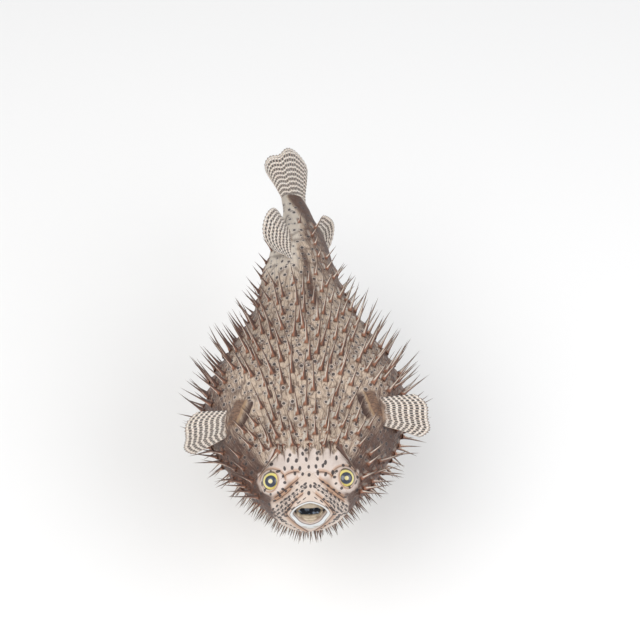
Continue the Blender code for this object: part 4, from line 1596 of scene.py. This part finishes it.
def beak_finish():
    made, tree, shader = new_material("tooth_plate", Coat_Weight=0.3)
    cloud = use(BLOTCHES, here_on(tree), Size=0.004, Contrast=0.7)
    colour = blend(kept(tree, "ridge"), TOOTH_BROWN, TOOTH_TAN)
    colour = blend(cloud * 0.4, colour, TOOTH_PALE)
    dress(shader, colour, step(cloud, 0.0, 1.0, 0.26, 0.42))
    return made


BEAK_FINISH = beak_finish()
for row in BEAK_PLATES:
    make_beak(*row).data.materials.append(BEAK_FINISH)

# %% [markdown]
# ## Fins
# A fin is a fan of soft rays with thin skin between them, thick and fleshy at its root. A flat
# grid is the natural start: one direction becomes the way out along a ray, the other the way
# from ray to ray. The grid is extruded to a second sheet, and each point is then put in its
# place, with the rays raised on both sides and the edge scalloped between them.

# %% Fin shapes
FIN_STEPS_OUT = 40
STEPS_PER_RAY = 5
FIN_THICKNESS = 0.0008
FLESHY_THICKNESS = {"pectoral": 0.0070, "median": 0.0042, "tail": 0.0040}
RAYS = {"pectoral": 17, "median": 15, "tail": 19}
FOLD = 0.004
RAY_RIDGE, FIN_WAVER, SCALLOP = 0.00042, 0.0004, 0.020
FIN_PIECES = []  # kinds of fins and pieces


def rounded(v, least, sharpness=0.5):
    return least + (1 - least) * max(0.0, math.sin(math.pi * v)) ** sharpness


def add_fan(kind, name, root, rays, length, outline, fold, flesh):
    """A fan of rays between two sheets. outline and fold say its edge and how it bends."""
    normal = rays[0].cross(rays[1]).normalized()
    ray_count = RAYS[kind]
    bm = bmesh.new()
    own = bm.loops.layers.uv.new("fan")
    bmesh.ops.create_grid(
        bm, x_segments=FIN_STEPS_OUT, y_segments=ray_count * STEPS_PER_RAY, size=0.5
    )
    grown = bmesh.ops.extrude_face_region(bm, geom=bm.faces[:])["geom"]
    bmesh.ops.translate(
        bm, verts=[item for item in grown if isinstance(item, bmesh.types.BMVert)], vec=(0, 0, 1)
    )
    for face in bm.faces:
        for loop in face.loops:
            loop[own].uv = (loop.vert.co.x + 0.5, loop.vert.co.y + 0.5)
    for vert in bm.verts:
        u, v, face_side = vert.co.x + 0.5, vert.co.y + 0.5, 1 if vert.co.z > 0.5 else -1
        ray = (rays[0] * (1 - v) + rays[1] * v).normalized()
        on_ray = 0.5 + 0.5 * math.cos(2 * math.pi * v * ray_count)
        reach = length * outline(v) * (1 - SCALLOP * (1 - on_ray) * ease(0.9, 1.0, u))
        fleshy = (FLESHY_THICKNESS[kind] - FIN_THICKNESS) * (1 - ease(0, flesh, u))
        ridge = RAY_RIDGE * (on_ray - 0.5) * ease(0.06, 0.3, u) * (1 - 0.5 * u)
        waver = FIN_WAVER * math.sin(9 * u + 5 * v) * u
        at_edge = 0.25 if min(u, 1 - u, v, 1 - v) < 0.001 else 1.0
        half_thickness = (FIN_THICKNESS + fleshy) / 2 + ridge
        out = fold(u, v) + waver + face_side * at_edge * half_thickness
        vert.co = root[0].lerp(root[1], v) + ray * u * reach + normal * out
    turn_outward(bm)
    FIN_PIECES.append((kind, finish_piece(f"{name}_membrane", bm, "fin", name)))


# %% Pectoral fins
PECTORAL_RAISED = {1: 0.12, -1: -0.04}
PECTORAL_LENGTH, PECTORAL_SUNK = 0.051, 0.010
for side, word in SIDES:
    ends, raised = PECTORAL_ENDS[side], PECTORAL_RAISED[side]
    root = [section_point(place, side * math.radians(turn), -PECTORAL_SUNK) for place, turn in ends]
    tail, left, up = frame_at(sum(place for place, _ in ends) / 2)
    out = side * left
    rays = (
        (out * 0.97 + tail * 0.14 + up * raised).normalized(),
        (out * 0.92 - tail * 0.34 + up * (raised - 0.16)).normalized(),
    )
    add_fan(
        "pectoral", f"pectoral_fin_{word}", root, rays, PECTORAL_LENGTH,
        lambda v: rounded(v, 0.84) - 0.02 * math.cos(4 * math.pi * v),
        lambda u, v: side * FOLD * (math.sin(math.pi * v) * u + u * u),
        0.45,
    )

# %% Dorsal and anal fins
MEDIAN_SUNK = 0.003
for name, first, last, angle, lean, shares, length in (
    ("dorsal_fin", 0.755, 0.860, 0.0, -2.2, ((0.89, 0.34), (0.50, 0.86)), 0.036),
    ("anal_fin", 0.835, 0.900, math.pi, 2.6, ((0.66, 0.75), (0.36, 0.93)), 0.043),
):
    root = [section_point(place, angle, -MEDIAN_SUNK) for place in (first, last)]
    tail, left, up = frame_at((first + last) / 2)
    out = (up * math.cos(angle) + left * lean).normalized()
    rays = [(out * outward + tail * back).normalized() for outward, back in shares]
    add_fan(
        "median", name, root, rays, length,
        lambda v: rounded(v, 0.62, 0.6),
        lambda u, v: FOLD * 0.75 * math.sin(2 * math.pi * v) * u,
        0.30,
    )

# %% Tail fin
TAIL_LENGTH, TAIL_HALF_ROOT, TAIL_ROOT_PLACE = 0.063, 0.0100, 0.985
tail, left, up = frame_at(1.0)
root = [axis_at(TAIL_ROOT_PLACE) + up * TAIL_HALF_ROOT * way for way in (1, -1)]
rays = ((tail * 0.97 + up * 0.22).normalized(), (tail * 0.90 - up * 0.42).normalized())
add_fan(
    "tail", "tail_fin", root, rays, TAIL_LENGTH,
    lambda v: rounded(v, 0.66) * (0.86 + 0.20 * v) - 0.09 * bump((v - 0.36) / 0.12),
    lambda u, v: FOLD * 0.75 * math.cos(2 * math.pi * v) * u,
    0.30,
)

# %% [markdown]
# ## The fins' finish
# Cream skin between thin brown rays, crossed by curved rows of dark dashes. Out along the ray
# the map's first number makes the rows, and from ray to ray the second one makes the rays. A
# little noise that changes from ray to ray keeps the dashes from lining up like print.

# %% Fin finish
FIN_CREAM, FIN_TAN, RAY_BROWN = (0.76, 0.71, 0.65), (0.74, 0.60, 0.48), (0.30, 0.195, 0.135)
DASH_BLACK, EDGE_BROWN = (0.030, 0.022, 0.022), (0.10, 0.065, 0.050)


def fin_finish(name, rays, rows, dash, flesh, root):
    """Rays, rows of dashes of that half length, and flesh of colour root on that share."""
    made, tree, shader = new_material(
        name, Subsurface_Weight=0.10, Subsurface_Radius=(0.002, 0.0015, 0.001)
    )
    own = own_map(tree, "fan")
    u, v, _ = parts(own)
    number = v * rays
    ray = sums("ROUND", number - 0.5)
    off = abs(number - (ray + 0.5))  # 0 between two rays, 0.5 on a ray
    cloud = use(BLOTCHES, here_on(tree), Size=0.006, Contrast=0.7)
    colour = blend(cloud * 0.35, FIN_CREAM, FIN_TAN)
    colour = blend(step(off, 0.34, 0.46, 0.0, 0.80), colour, RAY_BROWN)

    seed = {"Vector": joined(ray, 3.7)}
    jog = (value_of(tree, "ShaderNodeTexWhiteNoise", "Value", seed) - 0.5) * 0.26
    thick = step(abs(sums("FRACT", u * rows + jog) - 0.5), dash + 0.05, dash - 0.05)
    dashes = thick * step(off, 0.36, 0.29) * step(u, 0.965, 0.935)
    colour = blend(dashes * 0.95, colour, DASH_BLACK)
    colour = blend(step(u, 0.975, 0.992) * 0.75, colour, EDGE_BROWN)
    base = u + (cloud - 0.5) * 0.08
    fleshy = blend(use(FIBRES, own, Across=0.03, Along=0.4), UMBER, root)
    colour = blend(step(base, flesh + 0.06, flesh - 0.05), colour, fleshy)
    dress(shader, colour, step(off, 0.1, 0.5, 0.40, 0.52), step(off, 0.5, 0.2), 0.00020)
    return made


FIN_FINISHES = {
    kind: fin_finish(name, RAYS[kind], *look) for kind, name, *look in (
        ("pectoral", "pectoral_skin", 11.5, 0.29, 0.35, (0.36, 0.24, 0.165)),
        ("median", "median_fin_skin", 9.5, 0.29, 0.12, (0.50, 0.40, 0.31)),
        ("tail", "tail_fin_skin", 12.0, 0.30, 0.10, (0.62, 0.52, 0.42)),
    )
}
for kind, piece in FIN_PIECES:
    piece.data.materials.append(FIN_FINISHES[kind])

# %% [markdown]
# ## Stand
# A small oval base, painted a pale satin, carries two thin brushed rods. Each rod stands in a
# small collar and ends inside the belly. Both are spun from a profile as on a lathe, and the
# base is then drawn out to an oval. The sizes come from the solids' boxes.


# %% Lathe
def turned(profile, steps, near, bevel=None):
    """A solid of revolution about the Z axis from points of (radius, height)."""
    bm = bmesh.new()
    points = [bm.verts.new((radius, 0, height)) for radius, height in profile]
    for pair in zip(points, points[1:]):
        bm.edges.new(pair)
    if bevel:
        look = {"segments": 3, "affect": "VERTICES", "profile": 0.5, "material": -1}
        bmesh.ops.bevel(bm, geom=points[1:-1], offset=bevel, **look)
    bmesh.ops.spin(
        bm, geom=bm.verts[:] + bm.edges[:], cent=(0, 0, 0), axis=(0, 0, 1),
        angle=2 * math.pi, steps=steps, use_merge=True,
    )
    bmesh.ops.remove_doubles(bm, verts=bm.verts, dist=near)
    return bm


def finish_turned(bm, name, body_slot, node, sharp):
    turn_outward(bm)
    piece = finish_piece(name, bm, body_slot, node)
    piece.data.set_sharp_from_angle(angle=math.radians(sharp))
    return piece


# %% Base
# Shares of the half width and of the height, from the middle of the foot to that of the top.
BASE_PROFILE = (
    (0.0, 0.0), (0.95, 0.0), (0.985, 0.10), (1.0, 0.25), (1.0, 0.62), (0.985, 0.78),
    (0.955, 0.90), (0.93, 0.93), (0.915, 0.93), (0.90, 1.0), (0.0, 1.0),
)
BASE_BEVEL = 0.008
PAINT, PAINT_SHADE, DUST = (0.78, 0.77, 0.74), (0.72, 0.71, 0.68), (0.50, 0.48, 0.44)


def make_base():
    low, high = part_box("stand_base")
    height = high.z - low.z
    bm = turned([(share, rise * height) for share, rise in BASE_PROFILE], 160, 1e-5, BASE_BEVEL)
    bmesh.ops.scale(bm, verts=bm.verts, vec=(high.x, high.y, 1))
    return finish_turned(bm, "display_base", "stand", "stand_base", 50)


def paint_finish():
    made, tree, shader = new_material("satin_paint")
    here = here_on(tree)
    cloud = use(BLOTCHES, here, Size=0.03, Contrast=0.8)
    stipple = use(BLOTCHES, here, Size=0.0012, Contrast=1.0)
    dust = use(SPECKLES, here, Spacing=0.012, Radius=0.0004)
    colour = blend(dust * 0.25, blend(cloud, PAINT, PAINT_SHADE), DUST)
    dress(shader, colour, step(stipple, 0.0, 1.0, 0.34, 0.44), stipple, 0.00004)
    return made


make_base().data.materials.append(paint_finish())

# %% Rods
STEEL, STEEL_LIGHT = (0.56, 0.56, 0.55), (0.66, 0.66, 0.65)


def make_rod(word):
    """A rod with a collar on the base and a bead below its top."""
    low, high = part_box(f"stand_rod_{word}")
    radius, foot, top = (high.x - low.x) / 2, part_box("stand_base")[1].z, high.z
    profile = (
        (0.0, low.z), (1.0, low.z), (1.0, foot + 0.0001), (1.9, foot + 0.0002),
        (1.9, foot + 0.0016), (1.0, foot + 0.0030), (1.0, top - 0.0070),
        (1.05, top - 0.0060), (1.0, top - 0.0050), (1.0, top), (0.0, top),
    )
    bm = turned([(share * radius, height) for share, height in profile], 40, 1e-6)
    bmesh.ops.translate(bm, verts=bm.verts, vec=(0, (low.y + high.y) / 2, 0))
    return finish_turned(bm, f"display_rod_{word}", "rod", f"stand_rod_{word}", 35)


def rod_finish():
    made, tree, shader = new_material("brushed_rod", Metallic=1.0)
    scaling = {"Vector": here_on(tree), "Scale": (1.0, 1.0, 0.04)}
    drawn_out = value_of(tree, "ShaderNodeMapping", 0, scaling)
    brushing = use(BLOTCHES, drawn_out, Size=0.0006, Contrast=0.9)
    colour = blend(brushing, STEEL, STEEL_LIGHT)
    dress(shader, colour, step(brushing, 0.0, 1.0, 0.22, 0.38))
    return made


ROD_FINISH = rod_finish()
for word in ("front", "rear"):
    make_rod(word).data.materials.append(ROD_FINISH)

# %% [markdown]
# ## Floor
# A plain pale floor, wide enough to fill the view from any side. It is staged, so it isn't
# part of the object.

# %% Floor
FLOOR_HALF_WIDTH = 6.0
bm = bmesh.new()
bmesh.ops.create_grid(bm, x_segments=1, y_segments=1, size=FLOOR_HALF_WIDTH)
floor_mesh = bpy.data.meshes.new("floor")
bm.to_mesh(floor_mesh)
bm.free()
floor = add_object("floor", floor_mesh)
FLOOR_FINISH, _, floor_shader = new_material("pale_floor", Roughness=0.8)
floor_shader.inputs["Base Color"].default_value = (0.90, 0.90, 0.90, 1)
floor_mesh.materials.append(FLOOR_FINISH)
floor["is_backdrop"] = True

# %% [markdown]
# ## The finished model's reach
# How far the finished model reaches is printed. The finished model may reach only a
# little further than the solids do.

# %% Sizes and finish
low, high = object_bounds()
print("finished model reaches from", low, "to", high)
